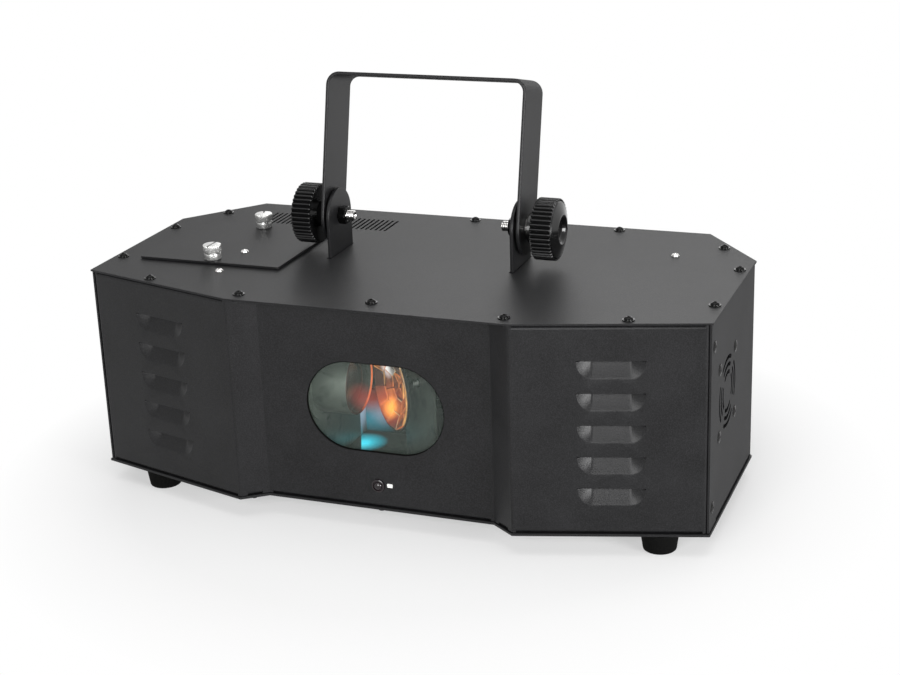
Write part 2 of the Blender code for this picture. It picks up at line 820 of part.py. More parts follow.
def ribbed(radius, groove, ribs):
    """A circle with equal ribs, one point on each crest and one in each groove."""
    radii = [radius - groove * (i % 2) for i in range(2 * ribs)]
    turns = [math.pi * i / ribs for i in range(2 * ribs)]
    return [(r * math.cos(a), r * math.sin(a)) for r, a in zip(radii, turns)]


def add_stack(bm, rings, place=None):
    """Joins outlines at their heights into a solid: equal ones by a band, and others, which lie
    at one height, by the flat face between them. The first and the last are closed."""
    place = place or Matrix.Identity(4)
    made = [[bm.verts.new(place @ Vector((x, y, z))) for x, y in points] for points, z in rings]
    for k in range(len(rings) - 1):
        a, b = made[k], made[k + 1]
        if len(a) == len(b):
            for i in range(len(a)):
                j = (i + 1) % len(a)
                bm.faces.new((a[i], a[j], b[j], b[i]))
            continue
        shapes = [(rings[k][0], a), (rings[k + 1][0], b)]
        shapes.sort(key=lambda pair: -max(x for x, _ in pair[0]))
        _, faces, _ = triangles(shapes[0][0], [shapes[1][0]])
        verts = shapes[0][1] + shapes[1][1]
        for corners in faces:
            bm.faces.new([verts[c] for c in corners])
    bm.faces.new(list(reversed(made[0])))
    bm.faces.new(made[-1])


def nut(name, skin, point, direction, flats, thick, bore_r):
    """A hexagonal nut that stands on a surface."""
    corners = circle(flats / math.sqrt(3), 6)
    place = axis_frame(point, direction)
    return plate_piece(name, skin, corners, [circle(bore_r, 12)], GAP, GAP + thick, place)


def plate_piece(name, skin, outline, holes, low, high, place=None, smooth=None):
    bm = bmesh.new()
    add_plate(bm, outline, holes, low, high, place)
    return finish(name, bm, skin, smooth=smooth)


def turned_piece(name, skin, profile, sides, place=None):
    bm = bmesh.new()
    add_turned(bm, profile, sides, place)
    return finish(name, bm, skin, smooth=30)


def rear_place(x, up):
    """A frame on the outside of the back wall: X to the right as seen from behind, Y up."""
    return axis_frame((x, BACK_Y, Z_BASE + up), (0.0, 1.0, 0.0))


def rear_hole(outline, x, up):
    """Puts an outline seen from behind at its place on the back wall of the rear shell."""
    return moved(outline, BACK_CORNER_X - x, Z_BASE + up)


# Housing


def top_plate(skin):
    holes = [screw_hole(x, y) for x, y in seam_places()]
    holes += [circle(SILVER_R + GAP, SCREW_HOLE_SIDES, x, Y_FRONT + back) for x, back in SILVER_PLACES]
    for side in (-1, 1):
        holes.append(circle(THUMB_STUD_R + GAP, 10, HATCH_X, HATCH_Y + side * THUMB_OFFSET))
        x = side * (EAR_INSIDE_X + EAR_SHEET / 2)
        length = 2 * EAR_R + EAR_NOTCH + GAP
        middle = PIVOT_Y + (GAP - EAR_NOTCH) / 2
        holes.append(box_outline(EAR_SHEET + 2 * GAP, length, x, middle))
    holes.append(box_outline(HATCH_OPENING_WIDTH, HATCH_OPENING_DEPTH, HATCH_X, HATCH_Y))
    slot = box_outline(VENT_WIDTH, VENT_LENGTH)
    for i in range(VENT_COUNT):
        x = VENT_LAST_X - i * VENT_PITCH
        holes.append(moved(slot, x, VENT_Y))
    outline = offset_outline(TOP_OUTLINE, OVERHANG)
    return plate_piece("top_plate", skin, outline, holes, Z_CEILING, Z_TOP)


def front_panel(skin):
    """The recessed front, its two louvred chamfers and the returns inside the side walls."""
    bm = bmesh.new()
    seam = front_seam()
    chamfer = side_length(FRONT_LINE, 1)
    from_corner = LOUVRE_FROM_CORNER + LOUVRE_TOP / 2
    return_screw = SIDE_SCREW_Y - (Y_FRONT + FOLD_BACK)
    for index, s in ((0, RETURN_FLANGE - return_screw), (6, return_screw)):
        screws = [screw_hole(s, z) for z in SIDE_SCREW_ZS]
        add_wall(bm, FRONT_LINE, index, screws)
    for index, middle in ((1, chamfer - from_corner), (5, from_corner)):
        holes = []
        for i in range(LOUVRE_COUNT):
            top_z = Z_BASE + LOUVRE_FIRST_Z - i * LOUVRE_PITCH
            holes.append(add_louvre(bm, FRONT_LINE, index, middle, top_z))
        add_wall(bm, FRONT_LINE, index, holes, flange(FRONT_LINE, index), seam)
    for index in (2, 4):
        add_wall(bm, FRONT_LINE, index, (), tab(FRONT_LINE, index), seam)
    window = stadium(WINDOW_WIDTH, WINDOW_HEIGHT, 14, RECESS_X, Z_BASE + WINDOW_Z)
    eye = circle(RECEIVER_HOLE_R, 12, RECESS_X, Z_BASE + RECEIVER_Z)
    add_wall(bm, FRONT_LINE, 3, [window, eye], flange(FRONT_LINE, 3), seam)
    return finish_sheet("front_panel", bm, skin, SHEET)


def grille_holes():
    """The fan's rings of slots and its four screws, as (s, z) outlines on the right wall."""
    middle = FAN_Y - (Y_FRONT + FRONT_CHAMFER)
    holes = []
    for ring, radius in enumerate(GRILLE_RADII):
        for quarter in range(4):
            turn = quarter * math.pi / 2 + GRILLE_TURN
            steps = GRILLE_STEPS[ring]
            holes.append(
                arc_slot(radius, GRILLE_SLOT, turn, GRILLE_ARC, steps, middle, FAN_CENTRE_Z)
            )
    for y, z in fan_corners():
        holes.append(screw_hole(middle + y, FAN_CENTRE_Z + z))
    return holes


def fan_corners():
    reach = FAN_SCREW_PITCH / 2
    return [(y, z) for y in (-reach, reach) for z in (-reach, reach)]


def rear_holes():
    width, height = [size + 2 * GAP for size in INLET_BODY_SIZE]
    holes = [rear_hole(rounded_box(width, height, INLET_CORNER_R, 2), INLET_X, INLET_Z)]
    width, height = [size + 2 * GAP for size in DISPLAY_SIZE]
    holes.append(rear_hole(box_outline(width, height), BOARD_X, BOARD_Z + DISPLAY_RISE))
    for x in (DMX_OUT_X, DMX_IN_X):
        holes.append(rear_hole(circle(DMX_BARREL_R + GAP, DMX_SIDES), x, DMX_Z))
        for side in (-1, 1):
            screw = screw_hole(side * DMX_SCREW_X, side * DMX_SCREW_Z)
            holes.append(rear_hole(screw, x, DMX_Z))
    for x in button_xs():
        holes.append(rear_hole(circle(BUTTON_R + GAP, BUTTON_SIDES), x, BOARD_Z - BUTTON_DROP))
    for side in (-1, 1):
        rod = circle(EYE_ROD_R + GAP, EYE_SIDES)
        holes.append(rear_hole(rod, EYE_X + side * EYE_BEND_R, EYE_Z))
    return holes


def rear_shell(skin):
    """The two side walls, the two rear chamfers and the back wall, folded from one sheet."""
    bm = bmesh.new()
    seam = rear_seam()
    side = side_length(REAR_LINE, 0)
    clear = FOLD_BACK + RETURN_FLANGE - FRONT_CHAMFER + FLANGE_END_GAP
    front_screws = [screw_hole(RETURN_SCREW_Y, z) for z in SIDE_SCREW_ZS]
    holes = front_screws + grille_holes()
    add_wall(bm, REAR_LINE, 0, holes, flange(REAR_LINE, 0, start_gap=clear), seam)
    add_wall(bm, REAR_LINE, 1, (), flange(REAR_LINE, 1), seam)
    add_wall(bm, REAR_LINE, 2, rear_holes(), flange(REAR_LINE, 2), seam)
    add_wall(bm, REAR_LINE, 3, (), flange(REAR_LINE, 3), seam)
    holes = [screw_hole(side - RETURN_SCREW_Y, z) for z in SIDE_SCREW_ZS]
    add_wall(bm, REAR_LINE, 4, holes, flange(REAR_LINE, 4, end_gap=clear), seam)
    return finish_sheet("rear_shell", bm, skin, SHEET)


def bottom_plate(skin):
    holes = [screw_hole(x, y) for x, y in seam_places()]
    holes += [circle(FOOT_SCREW_R + GAP, SCREW_HOLE_SIDES, x, y) for x, y in FOOT_PLACES.values()]
    outline = offset_outline(BASE_OUTLINE, OVERHANG)
    return plate_piece("bottom_plate", skin, outline, holes, Z_BASE, Z_FLOOR)


def feet(rubber):
    profile = [
        (FOOT_FLOOR_R - FOOT_ROUND, 0.0),
        (FOOT_FLOOR_R, FOOT_ROUND),
        (FOOT_TOP_R, FOOT_HEIGHT - GAP - FOOT_ROUND),
        (FOOT_TOP_R - FOOT_ROUND, FOOT_HEIGHT - GAP),
        (FOOT_SCREW_R + GAP, FOOT_HEIGHT - GAP),
        (FOOT_SCREW_R + GAP, FOOT_HEIGHT - GAP - FOOT_WEB),
        (FOOT_BORE_R, FOOT_HEIGHT - GAP - FOOT_WEB),
        (FOOT_BORE_R, 0.0),
    ]
    for name, (x, y) in FOOT_PLACES.items():
        bm = bmesh.new()
        add_turned(bm, profile, 14)
        finish(name, bm, rubber, origin=(x, y, 0.0), smooth=30)


def window(glass, steel, plastic):
    """The glass behind the window with its two clips, and the infrared receiver below it."""
    wall = Y_FRONT + RECESS + SHEET
    middle = Z_BASE + WINDOW_Z
    pane = stadium(WINDOW_WIDTH + 2 * GLASS_LAP, WINDOW_HEIGHT + 2 * GLASS_LAP, 12)
    place = axis_frame((0.0, wall, middle), (0.0, 1.0, 0.0))
    plate_piece("window_glass", glass, pane, [], GAP, GAP + GLASS_THICK, place)
    edge = WINDOW_HEIGHT / 2 + GLASS_LAP
    step = GLASS_THICK + 2 * GAP
    profile = [
        (edge + GAP + CLIP_FOOT, GAP),
        (edge + GAP + CLIP_FOOT, GAP + CLIP_SHEET),
        (edge + GAP + CLIP_SHEET, GAP + CLIP_SHEET),
        (edge + GAP + CLIP_SHEET, step + CLIP_SHEET),
        (edge - CLIP_LAP, step + CLIP_SHEET),
        (edge - CLIP_LAP, step),
        (edge + GAP, step),
        (edge + GAP, GAP),
    ]
    for name, side in (("glass_clip_upper", 1), ("glass_clip_lower", -1)):
        turned = Matrix(((0, 0, 1, 0), (0, 1, 0, wall), (side, 0, 0, middle), (0, 0, 0, 1)))
        plate_piece(name, steel, profile, [], -CLIP_WIDTH / 2, CLIP_WIDTH / 2, turned)
    dome = [(x, y * RECEIVER_DOME_RISE) for x, y in arc(RECEIVER_DOME_R, 0.0, math.pi / 2, 3)]
    profile = [
        (0.0, -RECEIVER_DEPTH),
        (RECEIVER_HOLE_R - GAP, -RECEIVER_DEPTH),
        (RECEIVER_HOLE_R - GAP, GAP),
        (RECEIVER_RING_R, GAP),
        (RECEIVER_RING_R, 3 * GAP),
        (RECEIVER_DOME_R + GAP, 4 * GAP),
        *[(x, 2 * GAP + y) for x, y in dome],
    ]
    front = axis_frame((0.0, Y_FRONT + RECESS, Z_BASE + RECEIVER_Z), (0.0, -1.0, 0.0))
    turned_piece("ir_receiver", plastic, profile, 12, front)


# Bracket, its pivots and its knobs


def ear_bridge(skin):
    """The U-shaped strap under the top plate, whose two ears stand up through its slots."""
    bm = bmesh.new()
    base = EAR_WEB_Z - PIVOT_Z
    ear = [(-EAR_R, base), (EAR_R, base), *arc(EAR_R, 0.0, math.pi, 14)]
    hole = circle(STUD_HOLE_R, 10)
    for side in (-1, 1):
        origin = (side * EAR_OUTSIDE_X, PIVOT_Y, PIVOT_Z)
        add_face(bm, origin, (0, side, 0), (0, 0, 1), ear, [hole])
    web = box_outline(2 * EAR_OUTSIDE_X, 2 * EAR_R)
    add_face(bm, (0.0, PIVOT_Y, EAR_WEB_Z), (1, 0, 0), (0, -1, 0), web)
    return finish_sheet("ear_bridge", bm, skin, EAR_SHEET)


def bracket(skin):
    """The mounting bracket, bent from one strip. Its origin is on the pivot line."""
    bm = bmesh.new()
    half = ARM_WIDTH / 2
    shoulder = BAR_UP - BRACKET_BEND_R
    arm = [*arc(half, math.pi, 2 * math.pi, 12), (half, shoulder), (-half, shoulder)]
    pivot_hole = circle(STUD_HOLE_R, 10)
    for side in (-1, 1):
        origin = (side * ARM_OUTSIDE_X, 0, 0)
        add_face(bm, origin, (0, side, 0), (0, 0, 1), arm, [pivot_hole])
        bend = arc(BRACKET_BEND_R, 0.0, math.pi / 2, 5, ARM_OUTSIDE_X - BRACKET_BEND_R, shoulder)
        for (x0, z0), (x1, z1) in zip(bend, bend[1:]):
            strip = [
                bm.verts.new((side * x0, -side * half, z0)),
                bm.verts.new((side * x0, side * half, z0)),
                bm.verts.new((side * x1, side * half, z1)),
                bm.verts.new((side * x1, -side * half, z1)),
            ]
            bm.faces.new(strip)
    bar = box_outline(2 * (ARM_OUTSIDE_X - BRACKET_BEND_R), ARM_WIDTH)
    holes = [circle(CLAMP_HOLE_R, 16)]
    holes += [circle(SIDE_HOLE_R, 10, side * SIDE_HOLE_X) for side in (-1, 1)]
    add_face(bm, (0.0, 0.0, BAR_UP), (1, 0, 0), (0, 1, 0), bar, holes)
    pivot = (0.0, PIVOT_Y, PIVOT_Z)
    return finish_sheet("bracket", bm, skin, ARM_SHEET, pivot, (-BRACKET_LEAN, 0.0, 0.0))


def pivot_hardware(name, side, steel, black_steel, plastic):
    """The nut inside one ear, the friction washer beside it and the steel washer at the knob."""
    point = (side * EAR_INSIDE_X, PIVOT_Y, PIVOT_Z)
    bore = STUD_R + GAP
    nut("lock_nut_" + name, black_steel, point, (-side, 0, 0), NUT_FLATS, NUT_THICK, bore)
    for kind, skin, x, radius, thick in (
        ("friction_washer_", plastic, EAR_OUTSIDE_X + GAP, FRICTION_WASHER_R, FRICTION_WASHER),
        ("knob_washer_", steel, STEEL_WASHER_X, STEEL_WASHER_R, STEEL_WASHER),
    ):
        place = axis_frame((side * x, PIVOT_Y, PIVOT_Z), (side, 0, 0))
        ring, hole = circle(radius, 18), circle(bore, 10)
        plate_piece(kind + name, skin, ring, [hole], 0.0, thick, place, smooth=30)


def knob(name, side, skin):
    """A ribbed clamping knob. Its origin is on the pivot line, at the face of its boss."""
    bore = circle(STUD_R + GAP, 10)
    boss = circle(KNOB_BOSS_R, 20)
    front = KNOB_BOSS + KNOB_LENGTH
    rings = [
        (bore, KNOB_BOSS + STUD_IN_KNOB + GAP),
        (bore, 0.0),
        (boss, 0.0),
        (boss, KNOB_BOSS),
        (ribbed(KNOB_R, KNOB_GROOVE, KNOB_RIBS), KNOB_BOSS),
        (ribbed(KNOB_R, KNOB_GROOVE, KNOB_RIBS), front - KNOB_FRONT_EDGE),
        (ribbed(KNOB_FACE_R, 0.0, KNOB_RIBS), front),
        (circle(KNOB_RECESS_R, 20), front),
        (circle(KNOB_RECESS_FLOOR_R, 20), front - KNOB_RECESS),
    ]
    bm = bmesh.new()
    add_stack(bm, rings, axis_frame((0, 0, 0), (side, 0, 0)))
    return finish(name, bm, skin, origin=(side * KNOB_BOSS_X, PIVOT_Y, PIVOT_Z), smooth=30)


def stud(name, side, skin, parent):
    """The threaded stud moulded into a knob, with a cupped tip inside the ear's nut."""
    tip = STUD_TIP_X - KNOB_BOSS_X
    end = KNOB_BOSS + STUD_IN_KNOB
    profile = [
        (0.0, tip + STUD_CUP),
        (STUD_CUP_R, tip),
        (STUD_R - STUD_BEVEL, tip),
        (STUD_R, tip + STUD_BEVEL),
        (STUD_R, end),
        (0.0, end),
    ]
    bm = bmesh.new()
    add_turned(bm, profile, 10, axis_frame((0, 0, 0), (side, 0, 0)))
    origin = (side * KNOB_BOSS_X, PIVOT_Y, PIVOT_Z)
    return finish(name, bm, skin, origin=origin, smooth=30, parent=parent)


# Service hatch


def hatch(black, steel, chrome):
    """The loose hatch plate, the two thumbscrews riding on it, and their nuts below."""
    bm = bmesh.new()
    outline = rounded_box(HATCH_WIDTH, HATCH_DEPTH, HATCH_CORNER_R, 2)
    holes = [circle(THUMB_STUD_R + GAP, 10, 0.0, side * THUMB_OFFSET) for side in (-1, 1)]
    holes.append(circle(SILVER_R + GAP, SCREW_HOLE_SIDES, *HATCH_SCREW_OFFSET))
    add_plate(bm, outline, holes, 0.0, HATCH_SHEET)
    plate = finish("hatch_plate", bm, black, origin=(HATCH_X, HATCH_Y, HATCH_Z))
    for name, side in (("front", -1), ("rear", 1)):
        y = HATCH_Y + side * THUMB_OFFSET
        thumbscrew("thumbscrew_" + name, y, chrome, plate)
        place = axis_frame((HATCH_X, y, Z_CEILING), (0, 0, -1))
        ring = circle(CLINCH_NUT_R, 16)
        bore = circle(THUMB_STUD_R + GAP, 10)
        plate_piece("clinch_nut_" + name, steel, ring, [bore], GAP, GAP + CLINCH_NUT, place)


def thumbscrew(name, y, skin, parent):
    top = THUMB_SHOULDER + THUMB_HEAD
    rings = [
        (circle(THUMB_STUD_R, 8), -THUMB_STUD_LENGTH),
        (circle(THUMB_STUD_R, 8), 0.0),
        (circle(THUMB_SHOULDER_R, 16), 0.0),
        (circle(THUMB_SHOULDER_R, 16), THUMB_SHOULDER),
        (ribbed(THUMB_HEAD_R, THUMB_KNURL, THUMB_KNURLS), THUMB_SHOULDER),
        (ribbed(THUMB_HEAD_R, THUMB_KNURL, THUMB_KNURLS), top - THUMB_BEVEL),
        (ribbed(THUMB_HEAD_R - THUMB_BEVEL, 0.0, THUMB_KNURLS), top),
    ]
    bm = bmesh.new()
    add_stack(bm, rings)
    screw = finish(name, bm, skin, origin=(HATCH_X, y, THUMB_Z), smooth=30, parent=parent)
    bm = bmesh.new()
    half = THUMB_HEAD_R + THUMB_SLOT
    low = (-half, -THUMB_SLOT / 2, top - THUMB_SLOT_DEPTH)
    add_box(bm, low, (half, THUMB_SLOT / 2, top + THUMB_SLOT))
    slot = finish("slot", bm, skin, origin=(HATCH_X, y, THUMB_Z))
    return combined(screw, [slot], "DIFFERENCE")


# Side fan


def fan_place():
    return axis_frame((HALF_W - SHEET - GAP, FAN_Y, FAN_CENTRE_Z), (1, 0, 0))


def fan_frame(skin):
    holes = [circle(FAN_DUCT_R, 24)]
    holes += [circle(FAN_HOLE_R, 6, y, z) for y, z in fan_corners()]
    outline = rounded_box(FAN_SIZE, FAN_SIZE, FAN_CORNER_R, 2)
    place = fan_place()
    frame = plate_piece("fan_frame", skin, outline, holes, -FAN_THICK, 0.0, place)
    hub = plate_piece("hub", skin, circle(FAN_HUB_R, 20), [], -FAN_SPIDER, 0.0, place)
    struts = []
    for quarter in range(4):
        bm = bmesh.new()
        low = (FAN_HUB_R / 2, -FAN_STRUT / 2, GAP - FAN_SPIDER)
        high = ((FAN_DUCT_R + FAN_SIZE / 2) / 2, FAN_STRUT / 2, -GAP)
        add_box(bm, low, high, place @ Matrix.Rotation(quarter * math.pi / 2, 4, "Z"))
        struts.append(finish("strut", bm, skin))
    return combined(frame, [hub, *struts], "UNION")


def blade_section(radius, tip_angle, chord, pitch, middle):
    """The four corners of a fan blade at one radius, along its chord and thickness."""
    reach = chord / 2 * math.cos(pitch)
    radius = math.sqrt(radius * radius - reach * reach)
    radial = Vector((math.cos(tip_angle), math.sin(tip_angle), 0.0))
    tangent = Vector((-radial.y, radial.x, 0.0))
    up = Vector((0.0, 0.0, 1.0))
    along_chord = tangent * math.cos(pitch) + up * math.sin(pitch)
    across = up * math.cos(pitch) - tangent * math.sin(pitch)
    centre = radial * radius + up * middle
    signs = ((-1, -1), (1, -1), (1, 1), (-1, 1))
    return [centre + along_chord * chord / 2 * a + across * FAN_BLADE / 2 * b for a, b in signs]


def fan_rotor(skin):
    """The fan's hub and blades. Its origin is on the shaft line, at the inside of the wall."""
    high = -FAN_SPIDER - RUNNING_GAP
    low = -FAN_THICK + RUNNING_GAP
    middle = (low + high) / 2
    turn = fan_place()
    origin = turn.translation.copy()
    turn.translation = (0, 0, 0)
    bm = bmesh.new()
    add_plate(bm, circle(FAN_HUB_R, 21), [], low, high, turn)
    rotor = finish("fan_rotor", bm, skin, origin=origin)
    radii = (FAN_HUB_R - FAN_BLADE, (FAN_HUB_R + FAN_DUCT_R) / 2, FAN_DUCT_R - FAN_TIP_CLEARANCE)
    blades = []
    for i in range(FAN_BLADES):
        angle = 2 * math.pi * i / FAN_BLADES
        sections = []
        for k, radius in enumerate(radii):
            share = k / (len(radii) - 1)
            chord = FAN_BLADE_CHORD[0] + (FAN_BLADE_CHORD[1] - FAN_BLADE_CHORD[0]) * share
            pitch = FAN_BLADE_PITCH[0] + (FAN_BLADE_PITCH[1] - FAN_BLADE_PITCH[0]) * share
            points = blade_section(radius, angle, chord, pitch, middle)
            sections.append([turn @ point for point in points])
        bm = bmesh.new()
        add_loft(bm, sections)
        blades.append(finish("blade", bm, skin, origin=origin))
    return combined(rotor, blades, "UNION")


# Optics


def chassis(skin):
    """The galvanised tray under the optics, with an upright partition at each side."""
    bm = bmesh.new()
    left = PARTITION_X - CHASSIS_SHEET
    middle = Y_FRONT + CHASSIS_FROM_FRONT + CHASSIS_DEPTH / 2
    top = CHASSIS_Z + CHASSIS_HEIGHT
    wall = [(-CHASSIS_DEPTH / 2, CHASSIS_Z), (CHASSIS_DEPTH / 2, CHASSIS_Z)]
    wall += [(CHASSIS_DEPTH / 2, top), (-CHASSIS_DEPTH / 2, top)]
    light_hole = circle(LED_HOLE_R, LENS_SIDES, middle - OPTIC_Y, OPTIC_Z)
    add_face(bm, (left, middle, 0), (0, -1, 0), (0, 0, 1), wall, [light_hole])
    add_face(bm, (CHASSIS_RIGHT_X, middle, 0), (0, 1, 0), (0, 0, 1), wall)
    floor = box_outline(CHASSIS_RIGHT_X - left, CHASSIS_DEPTH, (CHASSIS_RIGHT_X + left) / 2)
    add_face(bm, (0, middle, CHASSIS_Z), (1, 0, 0), (0, -1, 0), floor)
    return finish_sheet("chassis", bm, skin, CHASSIS_SHEET)


def light_engine(aluminium, board, plastic, lens):
    """The heat sink, its board of four light-emitting diodes, and the lens tube in front."""
    place = axis_frame((0.0, OPTIC_Y, OPTIC_Z), (1, 0, 0))
    square = box_outline(LED_BOARD_SIZE, LED_BOARD_SIZE)
    low, high = LED_BOARD_X - LED_BOARD, LED_BOARD_X
    mount = plate_piece("led_board", board, square, [], low, high, place)
    chips = []
    for x in (-LED_CHIP_OFFSET, LED_CHIP_OFFSET):
        for y in (-LED_CHIP_OFFSET, LED_CHIP_OFFSET):
            chip = box_outline(LED_CHIP_SIZE, LED_CHIP_SIZE, x, y)
            chips.append(plate_piece("chip", board, chip, [], low + GAP, high + LED_CHIP, place))
    combined(mount, chips, "UNION")
    half = SINK_SIZE / 2
    base, tip = SINK_X - SINK_BASE, SINK_X - SINK_BASE - SINK_FIN_LENGTH
    profile = [(-half, SINK_X), (-half, tip)]
    pitch = (SINK_SIZE - SINK_FIN) / (SINK_FINS - 1)
    for i in range(SINK_FINS):
        edge = -half + i * pitch
        if i > 0:
            profile += [(edge, base), (edge, tip)]
        profile += [(edge + SINK_FIN, tip)]
        if i < SINK_FINS - 1:
            profile += [(edge + SINK_FIN, base)]
    profile += [(half, SINK_X)]
    upright = Matrix(((0, 1, 0, 0), (1, 0, 0, OPTIC_Y), (0, 0, -1, OPTIC_Z), (0, 0, 0, 1)))
    plate_piece("heat_sink", aluminium, profile, [], -half, half, upright)
    outer = LENS_R + LENS_RING
    ledge = LENS_R - LENS_LEDGE
    seat = LENS_X - LENS_THICK - GAP
    profile = [
        (LENS_FLANGE_R, LENS_TUBE_X),
        (LENS_FLANGE_R, LENS_TUBE_X + LENS_FLANGE),
        (outer, LENS_TUBE_X + LENS_FLANGE),
        (outer, LENS_X),
        (LENS_R + GAP, LENS_X),
        (LENS_R + GAP, seat),
        (ledge, seat),
        (ledge, LENS_TUBE_X),
    ]
    turned_piece("lens_holder", plastic, profile, LENS_SIDES, place)
    back = LENS_X - LENS_THICK
    crown = LENS_THICK - LENS_EDGE
    dome = [(LENS_R * s, LENS_X - crown * s * s) for s in (1.0, 0.75, 0.5, 0.25, 0.0)]
    profile = [(0.0, back), (LENS_R, back), *dome]
    turned_piece("led_lens", lens, profile, LENS_SIDES, place)


def dish_depth(radius):
    return DISH_HOLLOW * (radius / DISH_R) ** 2


def dish_place():
    return axis_frame((0, 0, 0), DISH_FACING)


def dish_plate(skin):
    """The shallow dish with its hub behind. Its origin is on the shaft line, at its middle."""
    radii = [DISH_R * share for share in (1.0, 0.75, 0.5, 0.25)]
    behind = [(r, dish_depth(r) - DISH_SHEET) for r in reversed(radii)]
    front = [(r, dish_depth(r)) for r in radii]
    socket = -DISH_SHEET / 2
    profile = [
        (0.0, socket),
        (SHAFT_R + GAP, socket),
        (SHAFT_R + GAP, -DISH_HUB),
        (DISH_HUB_R, -DISH_HUB),
        (DISH_HUB_R, dish_depth(DISH_HUB_R) - DISH_SHEET),
        *behind,
        *front,
        (0.0, 0.0),
    ]
    bm = bmesh.new()
    add_turned(bm, profile, DISH_SIDES, dish_place())
    return finish("dish_plate", bm, skin, origin=DISH_CENTRE, smooth=30)


def dish_mirrors(dish, skin):
    """Joins rings of flat mirror tiles to the dish, with the corners of each sunk into it."""
    tiles = []
    place = dish_place()
    for count, inner, outer in DISH_RINGS:
        for i in range(count):
            corners = []
            for radius, side in ((inner, -1), (outer, -1), (outer, 1), (inner, 1)):
                middle = 2 * math.pi * i / count
                radius += MIRROR_MARGIN * (1 if radius == inner else -1)
                angle = middle + side * (math.pi / count - MIRROR_MARGIN / radius)
                flat = (radius * math.cos(angle), radius * math.sin(angle))
                corners.append(Vector((*flat, dish_depth(radius))))
            normal = (corners[1] - corners[0]).cross(corners[3] - corners[0])
            normal = -normal.normalized() if normal.z < 0 else normal.normalized()
            sections = []
            for height in (-MIRROR_SUNK, MIRROR_THICK):
                sections.append([place @ (corner + normal * height) for corner in corners])
            bm = bmesh.new()
            add_loft(bm, sections)
            tiles.append(finish("tile", bm, skin, origin=DISH_CENTRE))
    return combined(dish, tiles, "UNION")


def dish_drive(steel, black, galvanised, parent):
    """The shaft, the motor behind its upright plate, and the plate's foot on the chassis."""
    bm = bmesh.new()
    face = MOTOR_PLATE_BACK + CHASSIS_SHEET
    end = -DISH_SHEET / 2 - GAP
    start = -(face + GAP - RUNNING_GAP / 2)
    profile = [(0, start), (SHAFT_R, start), (SHAFT_R, end), (0, end)]
    add_turned(bm, profile, 10, dish_place())
    finish("dish_shaft", bm, steel, origin=DISH_CENTRE, smooth=30, parent=parent)
    back = axis_frame(DISH_CENTRE, -DISH_FACING)
    low, high = face + GAP, face + GAP + MOTOR_LENGTH
    profile = [
        (0.0, low),
        (MOTOR_R, low),
        (MOTOR_R, high - MOTOR_ROUND),
        (MOTOR_R - MOTOR_ROUND, high),
        (0.0, high),
    ]
    turned_piece("dish_motor", black, profile, 18, back)
    bm = bmesh.new()
    across = Vector((0, 0, 1)).cross(DISH_FACING)
    half = MOTOR_PLATE_WIDTH / 2
    floor_z = CHASSIS_Z + CHASSIS_SHEET + GAP - OPTIC_Z
    upright = [(-half, floor_z), (half, floor_z)]
    upright += [(half, MOTOR_PLATE_ABOVE), (-half, MOTOR_PLATE_ABOVE)]
    front = DISH_CENTRE - DISH_FACING * MOTOR_PLATE_BACK
    add_face(bm, front, across, (0, 0, 1), upright, [circle(SHAFT_R + RUNNING_GAP, 10)])
    foot = [(-half, 0), (half, 0), (half, MOTOR_PLATE_FOOT), (-half, MOTOR_PLATE_FOOT)]
    corner = front + Vector((0, 0, floor_z))
    add_face(bm, corner, -across, -DISH_FACING, foot)
    finish_sheet("motor_bracket", bm, galvanised, CHASSIS_SHEET)


# Power supply


def power_supply(board, parts, aluminium):
    """The supply's board on four posts, with its transformer, capacitor and heat sink."""
    y = Y_FRONT + SUPPLY_BACK
    low = Z_FLOOR + SUPPLY_LIFT
    top = low + SUPPLY_BOARD
    outline = box_outline(*SUPPLY_SIZE, SUPPLY_X, y)
    sheet = plate_piece("psu_board", board, outline, [], low, top)
    posts = []
    for sx in (-1, 1):
        for sy in (-1, 1):
            px = SUPPLY_X + sx * (SUPPLY_SIZE[0] / 2 - SUPPLY_POST_INSET)
            py = y + sy * (SUPPLY_SIZE[1] / 2 - SUPPLY_POST_INSET)
            post = circle(SUPPLY_POST_R, 6, px, py)
            posts.append(plate_piece("post", board, post, [], Z_FLOOR + GAP, low + GAP))
    combined(sheet, posts, "UNION")
    base = top + GAP
    width, depth, height = TRANSFORMER_SIZE
    core = rounded_box(width, depth, TRANSFORMER_ROUND, 2, SUPPLY_X + TRANSFORMER_RIGHT, y)
    plate_piece("psu_transformer", parts, core, [], base, base + height)
    can = axis_frame((SUPPLY_X - CAPACITOR_LEFT, y, base), (0, 0, 1))
    profile = [
        (0.0, 0.0),
        (CAPACITOR_R, 0.0),
        (CAPACITOR_R, CAPACITOR - CAPACITOR_ROUND),
        (CAPACITOR_R - CAPACITOR_ROUND, CAPACITOR),
        (0.0, CAPACITOR),
    ]
    turned_piece("psu_capacitor", parts, profile, 16, can)
    width, depth, height = SUPPLY_SINK_SIZE
    fin = box_outline(width, depth, SUPPLY_X, y)
    plate_piece("psu_heat_sink", aluminium, fin, [], base, base + height)


# Rear panel


def cutter(outline, low, high, place, skin):
    bm = bmesh.new()
    add_plate(bm, outline, [], low, high, place)
    return finish("cutter", bm, skin)


